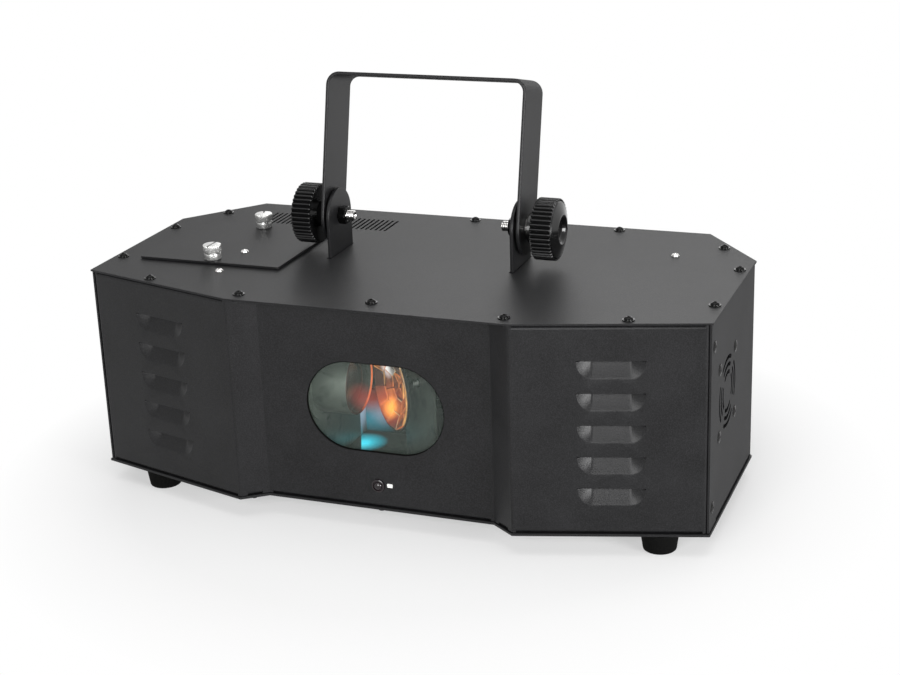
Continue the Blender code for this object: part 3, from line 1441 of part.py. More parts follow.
def mains_inlet(plastic):
    """The appliance inlet with its well, its three blades, and the fuse drawer above."""
    place = rear_place(INLET_X, INLET_Z)
    face = GAP + INLET_FLANGE
    outline = rounded_box(*INLET_FLANGE_SIZE, INLET_CORNER_R, 2)
    inlet = plate_piece("iec_inlet", plastic, outline, [], GAP, face, place)
    body = rounded_box(*INLET_BODY_SIZE, INLET_CORNER_R, 2)
    body = plate_piece("body", plastic, body, [], -INLET_BODY, GAP + INLET_FLANGE / 2, place)
    combined(inlet, [body], "UNION")
    w, h = SOCKET_SIZE[0] / 2, SOCKET_SIZE[1] / 2
    well = [
        (-w, -h),
        (w, -h),
        (w, h - SOCKET_BEVEL),
        (w - SOCKET_BEVEL, h),
        (SOCKET_BEVEL - w, h),
        (-w, h - SOCKET_BEVEL),
    ]
    well = moved(well, 0.0, -SOCKET_DROP)
    drawer = box_outline(DRAWER_SIZE[0] + 2 * GAP, DRAWER_SIZE[1] + 2 * GAP, 0.0, DRAWER_RISE)
    cuts = [
        cutter(well, face - SOCKET_DEPTH, face + SHEET, place, plastic),
        cutter(drawer, face - DRAWER_DEPTH - GAP, face + SHEET, place, plastic),
    ]
    combined(inlet, cuts, "DIFFERENCE")
    floor = face - SOCKET_DEPTH
    low = PIN_EARTH_UP / 2
    blades = []
    for x, up in ((-PIN_SPREAD, -low), (0.0, low), (PIN_SPREAD, -low)):
        blade = box_outline(*PIN_SIZE, x, up - SOCKET_DROP)
        tip = floor + PIN_LENGTH
        blades.append(plate_piece("blade", plastic, blade, [], floor - GAP, tip, place))
    combined(inlet, blades, "UNION")
    turn = place.copy()
    turn.translation = (0, 0, 0)
    bm = bmesh.new()
    block = box_outline(*DRAWER_SIZE)
    add_plate(bm, block, [], -DRAWER_DEPTH, DRAWER_PROUD, turn)
    origin = place @ Vector((0.0, DRAWER_RISE, face))
    holder = finish("fuse_drawer", bm, plastic, origin=origin)
    bm = bmesh.new()
    grip = box_outline(*DRAWER_GRIP, 0.0, -DRAWER_SIZE[1] / 2)
    add_plate(bm, grip, [], DRAWER_PROUD - DRAWER_GRIP_DEPTH, DRAWER_PROUD + SHEET, turn)
    return combined(holder, [finish("grip", bm, plastic, origin=origin)], "DIFFERENCE")


def dmx_socket(name, x, skin, female):
    """A round three-pole socket on a rectangular flange, seen from behind."""
    place = rear_place(x, DMX_Z)
    face = GAP + DMX_FLANGE
    outline = rounded_box(*DMX_FLANGE_SIZE, DMX_CORNER_R, 2)
    screws = [screw_hole(side * DMX_SCREW_X, side * DMX_SCREW_Z) for side in (-1, 1)]
    socket = plate_piece(name, skin, outline, screws, GAP, face, place)
    barrel = circle(DMX_BARREL_R, DMX_SIDES)
    body = plate_piece("barrel", skin, barrel, [], -DMX_BARREL, GAP + DMX_FLANGE / 2, place)
    combined(socket, [body], "UNION")
    cavity = circle(DMX_CAVITY_R, DMX_SIDES)
    depth = DMX_FACE_DEPTH if female else DMX_CAVITY
    cuts = [cutter(cavity, face - depth, face + SHEET, place, skin)]
    if female:
        for px, py in dmx_pin_places():
            hole = circle(DMX_PIN_HOLE_R, 8, px, py)
            cuts.append(cutter(hole, face - depth - DMX_PIN_HOLE, face, place, skin))
        width, height = DMX_LATCH_SIZE
        slot = box_outline(width + 2 * GAP, height + 2 * GAP, 0.0, DMX_LATCH_UP)
        depth = DMX_LATCH_DEPTH + DMX_LATCH_TRAVEL + GAP
        cuts.append(cutter(slot, face - depth, face + SHEET, place, skin))
    combined(socket, cuts, "DIFFERENCE")
    if not female:
        floor = face - DMX_CAVITY
        pins = []
        for px, py in dmx_pin_places():
            pin = circle(DMX_PIN_R, 8, px, py)
            pins.append(plate_piece("pin", skin, pin, [], floor - GAP, floor + DMX_PIN, place))
        combined(socket, pins, "UNION")
    return socket


def dmx_pin_places():
    """Two pins at the sides and one below, on one circle."""
    angles = [math.radians(a) for a in (20, 160, 270)]
    return [(DMX_PIN_CIRCLE_R * math.cos(a), DMX_PIN_CIRCLE_R * math.sin(a)) for a in angles]


def dmx_sockets(metal, steel):
    dmx_socket("dmx_in", DMX_IN_X, metal, female=False)
    dmx_socket("dmx_out", DMX_OUT_X, metal, female=True)
    face = GAP + DMX_FLANGE
    place = rear_place(DMX_OUT_X, DMX_Z)
    turn = place.copy()
    turn.translation = (0, 0, 0)
    bm = bmesh.new()
    latch = box_outline(*DMX_LATCH_SIZE)
    add_plate(bm, latch, [], -DMX_LATCH_DEPTH, DMX_LATCH_PROUD, turn)
    origin = place @ Vector((0.0, DMX_LATCH_UP, face))
    return finish("dmx_latch", bm, steel, origin=origin)


def button_xs():
    middle = (len(BUTTON_NAMES) - 1) / 2
    return [BOARD_X + (middle - i) * BUTTON_PITCH for i in range(len(BUTTON_NAMES))]


def control_panel(board, display, plastic):
    """The upright board behind the back wall, its display, its switches and their buttons."""
    place = rear_place(BOARD_X, BOARD_Z)
    low, high = -BOARD_SETBACK - BOARD_THICK, -BOARD_SETBACK
    sheet = plate_piece("control_board", board, box_outline(*BOARD_SIZE), [], low, high, place)
    raised = []
    for sx in (-1, 1):
        for sy in (-1, 1):
            x = sx * (BOARD_SIZE[0] / 2 - BOARD_POST_INSET)
            y = sy * (BOARD_SIZE[1] / 2 - BOARD_POST_INSET)
            post = circle(BOARD_POST_R, 6, x, y)
            raised.append(plate_piece("post", board, post, [], high - GAP, -SHEET - GAP, place))
    for x in button_xs():
        spot = rear_place(x, BOARD_Z - BUTTON_DROP)
        switch = box_outline(SWITCH_SIZE, SWITCH_SIZE)
        raised.append(
            plate_piece("switch", board, switch, [], high - GAP, high + SWITCH_HEIGHT, spot)
        )
    combined(sheet, raised, "UNION")
    screen = box_outline(*DISPLAY_SIZE, 0.0, DISPLAY_RISE)
    plate_piece("display", display, screen, [], high + GAP, -DISPLAY_SUNK, place)
    stem = high + SWITCH_HEIGHT + BUTTON_TRAVEL + GAP
    collar = -SHEET - GAP
    profile = [
        (0.0, stem),
        (BUTTON_STEM_R, stem),
        (BUTTON_STEM_R, collar - BUTTON_COLLAR),
        (BUTTON_COLLAR_R, collar - BUTTON_COLLAR),
        (BUTTON_COLLAR_R, collar),
        (BUTTON_R, collar),
        (BUTTON_R, BUTTON_PROUD - GAP),
        (BUTTON_R - 2 * GAP, BUTTON_PROUD),
        (0.0, BUTTON_PROUD),
    ]
    for name, x in zip(BUTTON_NAMES, button_xs()):
        spot = rear_place(x, BOARD_Z - BUTTON_DROP)
        turn = spot.copy()
        turn.translation = (0, 0, 0)
        button = bmesh.new()
        add_turned(button, profile, BUTTON_SIDES, turn)
        finish(name, button, plastic, origin=spot.translation, smooth=30)


def safety_eye(steel):
    """A bent rod through the back wall, for the safety rope, and the two nuts that hold it."""
    place = rear_place(EYE_X, EYE_Z)
    bend = arc(EYE_BEND_R, 0.0, math.pi, 8, 0.0, EYE_LEG)
    route = [(EYE_BEND_R, -EYE_INSIDE), *bend, (-EYE_BEND_R, -EYE_INSIDE)]
    sections = []
    for i, (x, z) in enumerate(route):
        before, after = route[max(i - 1, 0)], route[min(i + 1, len(route) - 1)]
        heading = Vector((after[0] - before[0], 0.0, after[1] - before[1])).normalized()
        side = Vector((heading.z, 0.0, -heading.x))
        if i == 1 or i == len(route) - 2:
            side = Vector((1.0 if i == 1 else -1.0, 0.0, 0.0))
        ring = []
        for px, py in circle(EYE_ROD_R, EYE_SIDES):
            ring.append(place @ (Vector((x, 0.0, z)) + side * px + Vector((0.0, py, 0.0))))
        sections.append(ring)
    bm = bmesh.new()
    add_loft(bm, sections)
    finish("safety_eye", bm, steel, smooth=30)
    for name, side in (("eye_nut_left", -1), ("eye_nut_right", 1)):
        point = (EYE_X + side * EYE_BEND_R, BACK_Y - SHEET, Z_BASE + EYE_Z)
        nut(name, steel, point, (0, -1, 0), EYE_NUT_FLATS, EYE_NUT, EYE_ROD_R + GAP)


# The whole light


def main():
    clear_scene()
    powder_black = material("powder_coat_black", (0.020, 0.020, 0.021), 0.65)
    plastic_black = material("plastic_black", (0.018, 0.018, 0.018), 0.45)
    rubber_black = material("rubber_black", (0.022, 0.022, 0.022), 0.8)
    black_steel = material("black_steel", (0.020, 0.020, 0.020), 0.4, 0.8)
    steel = material("steel", (0.62, 0.61, 0.59), 0.3, 1.0)
    chrome = material("chrome", (0.80, 0.80, 0.80), 0.12, 1.0)
    galvanised = material("galvanised_sheet", (0.42, 0.45, 0.42), 0.42, 0.9)
    aluminium = material("aluminium", (0.70, 0.71, 0.72), 0.35, 1.0)
    glass = material("glass", (0.85, 0.92, 0.90), 0.05, 0.0, 0.25)
    lens = material("lens", (0.90, 0.93, 0.95), 0.03, 0.0, 0.45)
    mirror = material("mirror", (0.90, 0.90, 0.90), 0.03, 1.0)
    board = material("circuit_board", (0.02, 0.16, 0.06), 0.5)
    display = material("display", (0.05, 0.01, 0.01), 0.15)

    top_plate(powder_black)
    front_panel(powder_black)
    rear_shell(powder_black)
    bottom_plate(powder_black)
    feet(rubber_black)
    window(glass, steel, plastic_black)

    ear_bridge(powder_black)
    bracket(powder_black)
    for name, side in (("left", -1), ("right", 1)):
        pivot_hardware(name, side, steel, black_steel, plastic_black)
        body = knob("knob_" + name, side, plastic_black)
        stud("stud_" + name, side, steel, body)

    hatch(powder_black, steel, chrome)
    fan_frame(plastic_black)
    fan_rotor(plastic_black)

    chassis(galvanised)
    light_engine(aluminium, board, plastic_black, lens)
    dish = dish_plate(plastic_black)
    dish_mirrors(dish, mirror)
    dish_drive(steel, black_steel, galvanised, dish)
    power_supply(board, plastic_black, aluminium)

    mains_inlet(plastic_black)
    dmx_sockets(black_steel, steel)
    control_panel(board, display, plastic_black)
    safety_eye(steel)


main()
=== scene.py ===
import json
import math
import random

import bmesh
import bpy
from mathutils import Matrix, Vector
from mathutils.geometry import delaunay_2d_cdt


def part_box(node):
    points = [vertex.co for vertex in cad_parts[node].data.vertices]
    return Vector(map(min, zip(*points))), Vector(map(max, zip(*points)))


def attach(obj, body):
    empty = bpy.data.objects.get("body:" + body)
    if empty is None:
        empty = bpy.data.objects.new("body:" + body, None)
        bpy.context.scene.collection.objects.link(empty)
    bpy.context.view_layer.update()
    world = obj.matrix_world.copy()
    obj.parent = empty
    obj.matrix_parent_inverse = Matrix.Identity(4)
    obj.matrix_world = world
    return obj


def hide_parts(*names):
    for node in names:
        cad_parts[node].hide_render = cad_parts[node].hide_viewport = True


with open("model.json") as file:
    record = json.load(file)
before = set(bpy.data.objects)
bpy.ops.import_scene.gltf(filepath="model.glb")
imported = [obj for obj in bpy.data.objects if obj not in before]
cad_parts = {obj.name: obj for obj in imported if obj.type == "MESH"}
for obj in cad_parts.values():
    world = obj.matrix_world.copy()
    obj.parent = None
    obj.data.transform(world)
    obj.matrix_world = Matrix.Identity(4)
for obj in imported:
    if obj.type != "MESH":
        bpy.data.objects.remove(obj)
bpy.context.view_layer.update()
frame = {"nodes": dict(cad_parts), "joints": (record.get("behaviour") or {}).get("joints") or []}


# Places read from the frame, in metres

def low(node):
    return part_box(node)[0]


def high(node):
    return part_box(node)[1]


def centre(node):
    return (low(node) + high(node)) / 2


def extent(node):
    return high(node) - low(node)


JOINTS = {joint["name"]: joint for joint in frame["joints"]}
HALF_W = high("rear_shell").x
BACK_Y = high("rear_shell").y
Y_FRONT = low("front_panel").y
FOLD_X = high("front_panel").x
WALL_LOW = low("rear_shell").z
WALL_HIGH = high("rear_shell").z
Z_CEILING = low("top_plate").z
Z_TOP = high("top_plate").z
Z_BASE = low("bottom_plate").z
Z_FLOOR = high("bottom_plate").z
OVERHANG = high("top_plate").x - HALF_W
PIVOT = Vector(JOINTS["bracket_tilt"]["pos_m"])
FAN = Vector(JOINTS["fan_spin"]["pos_m"])
DISH = Vector(JOINTS["dish_spin"]["pos_m"])
DISH_AXIS = Vector(JOINTS["dish_spin"]["axis"]).normalized()
THUMB_TURNS = {"thumbscrew_front": math.radians(88), "thumbscrew_rear": math.radians(112)}
THUMBS = {name: Vector(JOINTS[name + "_turn"]["pos_m"]) for name in THUMB_TURNS}
BUTTONS = ("menu_button", "down_button", "up_button", "enter_button")
FEET = ("foot_front_left", "foot_front_right", "foot_rear_left", "foot_rear_right")
SIDES = {"left": -1, "right": 1}

# Sizes shared with the CAD model, in metres
GAP = 0.0003
SHEET = 0.0012
BEND = 0.0010
FOLD_R = SHEET + BEND
FLANGE = 0.0095
FLANGE_END_GAP = 0.002
RETURN_FLANGE = 0.016
STEP_TAB = 0.008
STEP_TAB_WIDTH = 0.009
FRONT_CORNER_X = 0.085
FRONT_CHAMFER = 0.0295
RECESS_X = 0.0707
RECESS = 0.0105
BACK_CORNER_X = 0.1523
REAR_CHAMFER = 0.0475
LOUVRE_COUNT = 5
LOUVRE_PITCH = 0.01875
LOUVRE_HEIGHT = 0.0107
LOUVRE_TOP = 0.038
LOUVRE_BOTTOM = 0.0228
LOUVRE_DEPTH = 0.0045
LOUVRE_LIP = 0.0006
LOUVRE_RAMP = 0.0084
LOUVRE_FIRST_Z = 0.1040
LOUVRE_FROM_CORNER = 0.0364
WINDOW = (0.085, 0.0546)
WINDOW_Z = 0.063
RECEIVER_Z = 0.0152
RECEIVER_HOLE_R = 0.0031
SCREW_INSET = 0.005
SCREW_HOLE_R = 0.0016
CHAMFER_SCREW_ALONG = 0.0648
STEP_SCREW_INSET = 0.0041
FRONT_SCREW_INSET = 0.0036
SIDE_SCREW_FRONT = 0.0285
SIDE_SCREW_REAR = 0.0195
BACK_SCREW_X = 0.096
RETURN_SCREW_Y = 0.0072
RETURN_SCREW_ZS = (0.0147, 0.1097)
SILVER_PLACES = ((0.1426, 0.1414), (-0.1122, 0.0456))
HATCH_SCREW_OFFSET = (0.0127, -0.0177)
SILVER_R = 0.0012
VENT_COUNT = 27
VENT_PITCH = 0.0033
VENT_WIDTH = 0.0014
VENT_LENGTH = 0.0235
VENT_LAST_X = -0.0485
VENT_FROM_BACK = 0.0186
FAN_SCREW_PITCH = 0.040
GRILLE_RADII = (0.0200, 0.0156, 0.0112)
GRILLE_SLOT = 0.0024
GRILLE_ARC = math.radians(60)
GRILLE_TURN = math.radians(6)
HATCH_OPENING = (0.074, 0.052)
HATCH_CORNER_R = 0.0015
FOOT_LOW_R = 0.0095
FOOT_MIDDLE_R = 0.0103
FOOT_TOP_R = 0.0110
FOOT_RECESS_R = 0.0045
FOOT_HOLE_R = 0.0023
FOOT_SEAT = 0.004
EAR_R = 0.0165
EAR_SHEET = 0.002
EAR_BEND_R = 0.003
EAR_NOTCH = 0.0018
STUD_R = 0.003
STUD_HOLE_R = 0.0034
STUD_BORE_R = STUD_R + GAP
ARM_SHEET = 0.002
ARM_WIDTH = 0.0322
BAR_UP = 0.086
BRACKET_BEND_R = 0.008
BRACKET_LEAN = math.radians(13.3)
CLAMP_HOLE_R = 0.00525
SIDE_HOLE_R = 0.00325
SIDE_HOLE_X = 0.022
NUT_FLATS = 0.010
NUT_HEIGHT = 0.0048
KNOB_R = 0.0184
KNOB_BOSS = 0.0049
KNOB_BOSS_R = 0.009
KNOB_LENGTH = 0.0152
THUMB_HEAD_R = 0.0056
THUMB_HEAD = 0.0046
THUMB_SHOULDER_R = 0.0052
THUMB_SHOULDER = 0.0044
THUMB_SLOT = 0.0011
THUMB_SLOT_DEPTH = 0.0013
THUMB_STUD_R = 0.002
THUMB_STUD_LENGTH = 0.007
LENS_R = 0.018
LENS_CROWN = 0.005
TUBE_R = 0.020
TUBE_SEAT_R = 0.0183
TUBE_SEAT = 0.0073
TUBE_BORE_R = 0.0162
TUBE_FLANGE_R = 0.025
TUBE_FLANGE = 0.002
DISH_R = 0.026
DISH_HOLLOW = 0.007
DISH_SHEET = 0.0015
DISH_HUB_R = 0.005
DISH_HUB = 0.006
DISH_BORE_R = 0.0028
INLET_BODY = (0.0270, 0.0450)
WELL_SIZE = (0.0245, 0.0165)
WELL_BEVEL = 0.004
WELL_DROP = 0.009
WELL_DEPTH = 0.0165
PIN_SIZE = (0.002, 0.004)
PIN_LENGTH = 0.0115
PIN_SPREAD = 0.007
PIN_EARTH_UP = 0.004
DRAWER_GRIP = (0.010, 0.0035)
DRAWER_GRIP_DEPTH = 0.0025
DISPLAY_OPENING = (0.0346, 0.0156)
DMX_BARREL_R = 0.0118
DMX_CAVITY_R = 0.0095
DMX_CAVITY = 0.013
DMX_FACE_DEPTH = 0.0012
DMX_PIN_R = 0.0012
DMX_PIN_LENGTH = 0.010
DMX_PIN_CIRCLE = 0.0040
DMX_PIN_ANGLES = [math.radians(angle) for angle in (20, 160, 270)]
DMX_PIN_HOLE_R = 0.0015
DMX_SCREWS = ((-0.0095, -0.012), (0.0095, 0.012))
DMX_LATCH_SLOT = (0.0028, 0.0111)
BUTTON_R = 0.0030
BUTTON_COLLAR_R = 0.0042
BUTTON_COLLAR = 0.0012
BUTTON_STEM_R = 0.0015
EYE_ROD_R = 0.002
EYE_BEND_R = 0.008

# Sizes of the finer forms, in metres
SIDE_HEAD = 0.00075
KNOB_RIBS = 40
KNOB_GROOVE = 0.0016
KNOB_FACE_R = 0.0172
KNOB_CONE = 0.0026
KNOB_RECESS_R = 0.0076
KNOB_RECESS = 0.0028
KNOB_RECESS_FLOOR_R = 0.0058
THREAD_PITCH = 0.001
THREAD_ROOT_R = 0.00275
THUMB_GROOVE = 0.0014
THUMB_KNURL = 0.00032
THUMB_RIBS = 36
THUMB_THREAD = 0.0007
SEAL_PLAY = 0.0001
SEAL_WIDTH = 0.0004
LABEL = (0.0034, 0.0024)
LABEL_X = 0.0072
LABEL_UP = 0.0006
RIM_RADII = (0.0184, 0.0198)
TILE_RINGS = ((4, 0.0020, 0.0092), (8, 0.0092, 0.0172), (12, 0.0172, 0.0255))
TILE_MARGIN = 0.00035
TILE_TILT = 0.05

# Plan lines of the housing, counter-clockwise from above
FOLD_BACK = FRONT_CHAMFER * (FOLD_X - FRONT_CORNER_X) / (HALF_W - FRONT_CORNER_X)
FRONT_HALF = [
    (RECESS_X, Y_FRONT + RECESS),
    (FRONT_CORNER_X, Y_FRONT),
    (FOLD_X, Y_FRONT + FOLD_BACK),
    (FOLD_X, Y_FRONT + FOLD_BACK + RETURN_FLANGE),
]
FRONT_LINE = [(-x, y) for x, y in reversed(FRONT_HALF)] + FRONT_HALF
REAR_HALF = [
    (HALF_W, Y_FRONT + FRONT_CHAMFER),
    (HALF_W, BACK_Y - REAR_CHAMFER),
    (BACK_CORNER_X, BACK_Y),
]
REAR_LINE = REAR_HALF + [(-x, y) for x, y in reversed(REAR_HALF)]
TOP_OUTLINE = [(-FRONT_CORNER_X, Y_FRONT), (FRONT_CORNER_X, Y_FRONT), *REAR_LINE]
BASE_OUTLINE = [*FRONT_LINE[2:6], *REAR_LINE]


# Materials

class Tree:
    """The nodes of a material or of the world. An input takes a value or an output of another node."""

    def __init__(self, owner):
        owner.use_nodes = True
        self.nodes = owner.node_tree.nodes
        self.links = owner.node_tree.links

    def put(self, socket, value):
        if isinstance(value, bpy.types.NodeSocket):
            self.links.new(value, socket)
        else:
            socket.default_value = value

    def add(self, kind, inputs, output=0, **settings):
        node = self.nodes.new("ShaderNode" + kind)
        for setting, value in settings.items():
            setattr(node, setting, value)
        for socket, value in inputs.items():
            self.put(node.inputs[socket], value)
        return node.outputs[output]

    def spot(self):
        """Where a point of the surface lies in the frame."""
        place = self.nodes.get("Texture Coordinate") or self.nodes.new("ShaderNodeTexCoord")
        return place.outputs["Object"]

    def measured(self, operation, other=(0.0, 0.0, 0.0)):
        """A number from where a point lies and another vector."""
        return self.add("VectorMath", {0: self.spot(), 1: other}, "Value", operation=operation)

    def noise(self, scale, detail=3.0, distortion=0.0):
        """Noise with its scale in features per metre."""
        inputs = {"Scale": scale, "Detail": detail, "Distortion": distortion, "Vector": self.spot()}
        return self.add("TexNoise", inputs)

    def ranged(self, source, low_in, high_in, low_out=0.0, high_out=1.0):
        return self.add("MapRange", {"Value": source, "From Min": low_in, "From Max": high_in,
                                     "To Min": low_out, "To Max": high_out})

    def maths(self, operation, first, second, clamp=False):
        return self.add("Math", {0: first, 1: second}, operation=operation, use_clamp=clamp)

    def mixed(self, factor, first, second, blend="MIX"):
        first, second = [(*c, 1.0) if isinstance(c, tuple) else c for c in (first, second)]
        return self.add("Mix", {"Factor": factor, 6: first, 7: second}, 2, data_type="RGBA", blend_type=blend)

    def whitened(self, plain, white, share, output):
        """Puts white over the plain shader, by its share, for the camera, in metal and through glass."""
        path = self.nodes.new("ShaderNodeLightPath")
        seen = path.outputs["Is Camera Ray"]
        for ray in ("Is Glossy Ray", "Is Transmission Ray"):
            seen = self.maths("MAXIMUM", seen, path.outputs[ray])
        mix = self.add("MixShader", {0: self.maths("MULTIPLY", seen, share), 1: plain, 2: white})
        self.links.new(mix, self.nodes[output].inputs["Surface"])


class Skin(Tree):
    """A material with one shader."""

    def __init__(self, name, colour, roughness, metallic=0.0, specular=0.5):
        self.name = name
        self.material = bpy.data.materials.new(name)
        super().__init__(self.material)
        self.set({"Base Color": (*colour, 1.0), "Roughness": roughness, "Metallic": metallic,
                  "Specular IOR Level": specular})

    def set(self, inputs):
        for socket, value in inputs.items():
            self.put(self.nodes["Principled BSDF"].inputs[socket], value)

    def bumped(self, source, strength, distance):
        self.set({"Normal": self.add("Bump", {"Strength": strength, "Distance": distance, "Height": source})})

    def lit(self, glows, total=None):
        """Adds patches of coloured light. Each has a centre, a colour and a radius, and some have a
        straight edge."""
        for middle, colour, radius, *edges in glows:
            share = self.ranged(self.measured("DISTANCE", middle), radius, radius * 0.15)
            for direction, start in edges:
                side = self.measured("DOT_PRODUCT", direction)
                share = self.maths("MULTIPLY", share, self.ranged(side, start, start + 0.0006))
            patch = self.mixed(share, BLACK, colour)
            total = patch if total is None else self.mixed(1.0, total, patch, "ADD")
        if total is not None:
            self.set({"Emission Color": total, "Emission Strength": 1.0})


def grey(value):
    return (value, value, value)


BLACK = grey(0.0)
WHITE = (1.0, 1.0, 1.0, 1.0)


def textured(name, colour, light, roughness, spread, grain, bump, specular=0.5, metallic=0.0):
    """A surface whose colour has fine grain over soft patches, with bump and roughness of one grain."""
    skin = Skin(name, colour, roughness, metallic, specular)
    fine = skin.noise(1.0 / grain)
    speck = skin.ranged(fine, 0.42, 0.72)
    cloud = skin.ranged(skin.noise(40.0), 0.3, 0.7, 0.0, 0.35)
    skin.set({"Base Color": skin.mixed(skin.maths("ADD", speck, cloud, clamp=True), colour, light),
              "Roughness": skin.ranged(fine, 0.3, 0.7, roughness - spread, roughness + spread)})
    skin.bumped(fine, bump, grain * 0.35)
    return skin


def powder_coat(name, glows=()):
    """Fine matt-black paint. Its grain hides the gloss of a surface seen at a flat angle."""
    skin = textured(name, (0.0050, 0.0050, 0.0053), (0.0145, 0.0145, 0.0155), 0.34, 0.05, 0.00055, 0.30, 0.19)
    facing = skin.add("LayerWeight", {"Blend": 0.5}, "Facing")
    rough = skin.nodes["Principled BSDF"].inputs["Roughness"].links[0].from_socket
    skin.set({"Roughness": skin.maths("ADD", rough, skin.ranged(facing, 0.55, 0.85, 0.0, 0.36))})
    skin.lit(glows)
    return skin


def spangled(name, glows=()):
    """Plain galvanised sheet, with the large soft crystals of its zinc. Coloured light can lie on it."""
    skin = Skin(name, (0.10, 0.12, 0.10), 0.42, 0.55)
    cells = skin.add("TexVoronoi", {"Scale": 130.0, "Detail": 2.0, "Vector": skin.spot()}, "Color")
    tint = skin.ranged(skin.maths("MULTIPLY", cells, skin.noise(38.0, 3.0, 1.2)), 0.05, 0.45)
    fine = skin.noise(700.0, 4.0)
    skin.set({"Base Color": skin.mixed(tint, (0.050, 0.064, 0.052), (0.17, 0.20, 0.17)),
              "Roughness": skin.ranged(fine, 0.3, 0.7, 0.32, 0.52)})
    skin.bumped(fine, 0.15, 0.0002)
    skin.lit(glows)
    return skin


def metal(name, colour, roughness):
    light = tuple(min(1.0, c * 1.12) for c in colour)
    return textured(name, colour, light, roughness, 0.06, 0.0004, 0.15, metallic=1.0)


def lens_glass():
    skin = Skin("lens", (0.30, 0.26, 0.24), 0.02)
    rough = skin.ranged(skin.noise(90.0), 0.35, 0.7, 0.02, 0.05)
    skin.set({"Transmission Weight": 1.0, "IOR": 1.45, "Roughness": rough})
    return skin


def pane_glass(glows):
    """Thin glass: see-through, with a plain reflection and a faint grey-green body, and patches of painted
    orange and red light glowing in it.
    """
    skin = Skin("pane", (0.10, 0.125, 0.11), 0.03)
    skin.set({"Alpha": 0.16, "Roughness": skin.ranged(skin.noise(60.0, 4.0), 0.35, 0.75, 0.02, 0.09)})
    skin.lit(glows)
    skin.material.surface_render_method = "BLENDED"
    return skin


def glowing(name, glow_colours, base, roughness, metallic=0.0, glows=()):
    """A surface with painted light, as emission: each of its separate tiles glows in its own colour of a
    ramp, dimmed in soft patches, with patches of painted coloured light over it.
    """
    skin = Skin(name, base, roughness, metallic)
    ramp = skin.nodes.new("ShaderNodeValToRGB")
    steps = ramp.color_ramp
    steps.interpolation = "CONSTANT"
    steps.elements.remove(steps.elements[1])
    for start, colour in glow_colours:
        element = steps.elements.new(start) if start else steps.elements[0]
        element.color = (*colour, 1.0)
    tiles = skin.nodes.new("ShaderNodeNewGeometry")
    skin.links.new(tiles.outputs["Random Per Island"], ramp.inputs["Fac"])
    cloud = skin.noise(160.0)
    shade = skin.ranged(cloud, 0.35, 0.65, 0.25, 1.0)
    skin.lit(glows, skin.mixed(shade, BLACK, ramp.outputs["Color"]))
    skin.set({"Roughness": skin.ranged(cloud, 0.3, 0.7, roughness, roughness + 0.10)})
    return skin


POWDER = powder_coat("powder_coat")
BASE_LIT = powder_coat("powder_coat_lit", [
    ((-0.0540, 0.0380, 0.0135), (0.03, 0.34, 0.46), 0.0300, ((0.0, 0.0, 1.0), 0.0130)),
])
KNOB = textured("knob_plastic", (0.0022, 0.0022, 0.0023), (0.0036, 0.0036, 0.0038),
                0.15, 0.02, 0.0016, 0.02, 0.34)
PLASTIC = textured("plastic", (0.011, 0.011, 0.0115), (0.022, 0.022, 0.023), 0.42, 0.08, 0.0006, 0.25)
RUBBER = textured("rubber", grey(0.0018), (0.0045, 0.0045, 0.0042), 0.85, 0.06, 0.0007, 0.5, 0.05)
GLOSS = textured("receiver_plastic", (0.004, 0.002, 0.003), (0.007, 0.003, 0.004), 0.08, 0.02, 0.002, 0.02)
BLACK_STEEL = textured("black_steel", grey(0.0012), grey(0.0028), 0.13, 0.02, 0.0008, 0.03, 0.12)
SIDE_STEEL = textured("side_steel", grey(0.0030), grey(0.006), 0.25, 0.03, 0.0008, 0.03, 0.05)
STEEL = metal("steel", (0.60, 0.59, 0.58), 0.16)
CHROME = textured("chrome", (0.56, 0.56, 0.55), (0.66, 0.66, 0.65), 0.24, 0.04, 0.0012, 0.02, 0.5, 0.80)
ALUMINIUM = metal("aluminium", (0.62, 0.63, 0.64), 0.34)
MARK = textured("print_white", (0.62, 0.62, 0.60), (0.72, 0.72, 0.70), 0.5, 0.05, 0.001, 0.02)
BOARD = textured("circuit_board", (0.010, 0.085, 0.030), (0.020, 0.14, 0.050), 0.35, 0.08, 0.0012, 0.2)
DISPLAY = textured("display", (0.020, 0.003, 0.003), (0.035, 0.005, 0.005), 0.12, 0.03, 0.003, 0.02)
GALVANISED = spangled("galvanised")
BEAM_EDGE = ((0.918, 0.398, 0.0), -0.0471)
TRAY_LIT = spangled("galvanised_lit", [
    ((-0.0445, -0.0090, 0.0153), (0.02, 0.75, 0.95), 0.0150, BEAM_EDGE),
    ((-0.0455, -0.0130, 0.0153), (0.05, 0.35, 0.40), 0.0090, BEAM_EDGE),
    ((-0.0513, 0.0030, 0.0290), (0.30, 0.42, 0.55), 0.0130, BEAM_EDGE),
])
LENS = lens_glass()
PANE_Y = low("window_glass").y
# Painted orange and red glow of the LED's light in the window pane, as emission patches
PANE = pane_glass([
    ((0.0094, PANE_Y, 0.0760), (1.7, 0.70, 0.08), 0.0075),
    ((0.0060, PANE_Y, 0.0770), (0.9, 0.09, 0.04), 0.0140),
    ((-0.0080, PANE_Y, 0.0800), (0.7, 0.07, 0.05), 0.0100),
])
RIM_LIT = glowing("rim_lit", [(0.0, BLACK)], (0.06, 0.02, 0.015), 0.2, glows=[
    ((-0.0272, -0.0370, 0.0700), (1.0, 0.24, 0.08), 0.0230, ((0.0, 1.0, 0.0), -0.0500)),
])
# Painted glow of the LED's orange and yellow light on the mirror tiles' edges, as emission
EDGE_PAINTED_GLOWS = [(0.0, (1.0, 0.46, 0.12)), (0.5, (0.9, 0.20, 0.04)), (0.8, (1.0, 0.80, 0.45))]
EDGE_LIT = glowing("tile_edge_lit", EDGE_PAINTED_GLOWS, (0.3, 0.2, 0.1), 0.2)
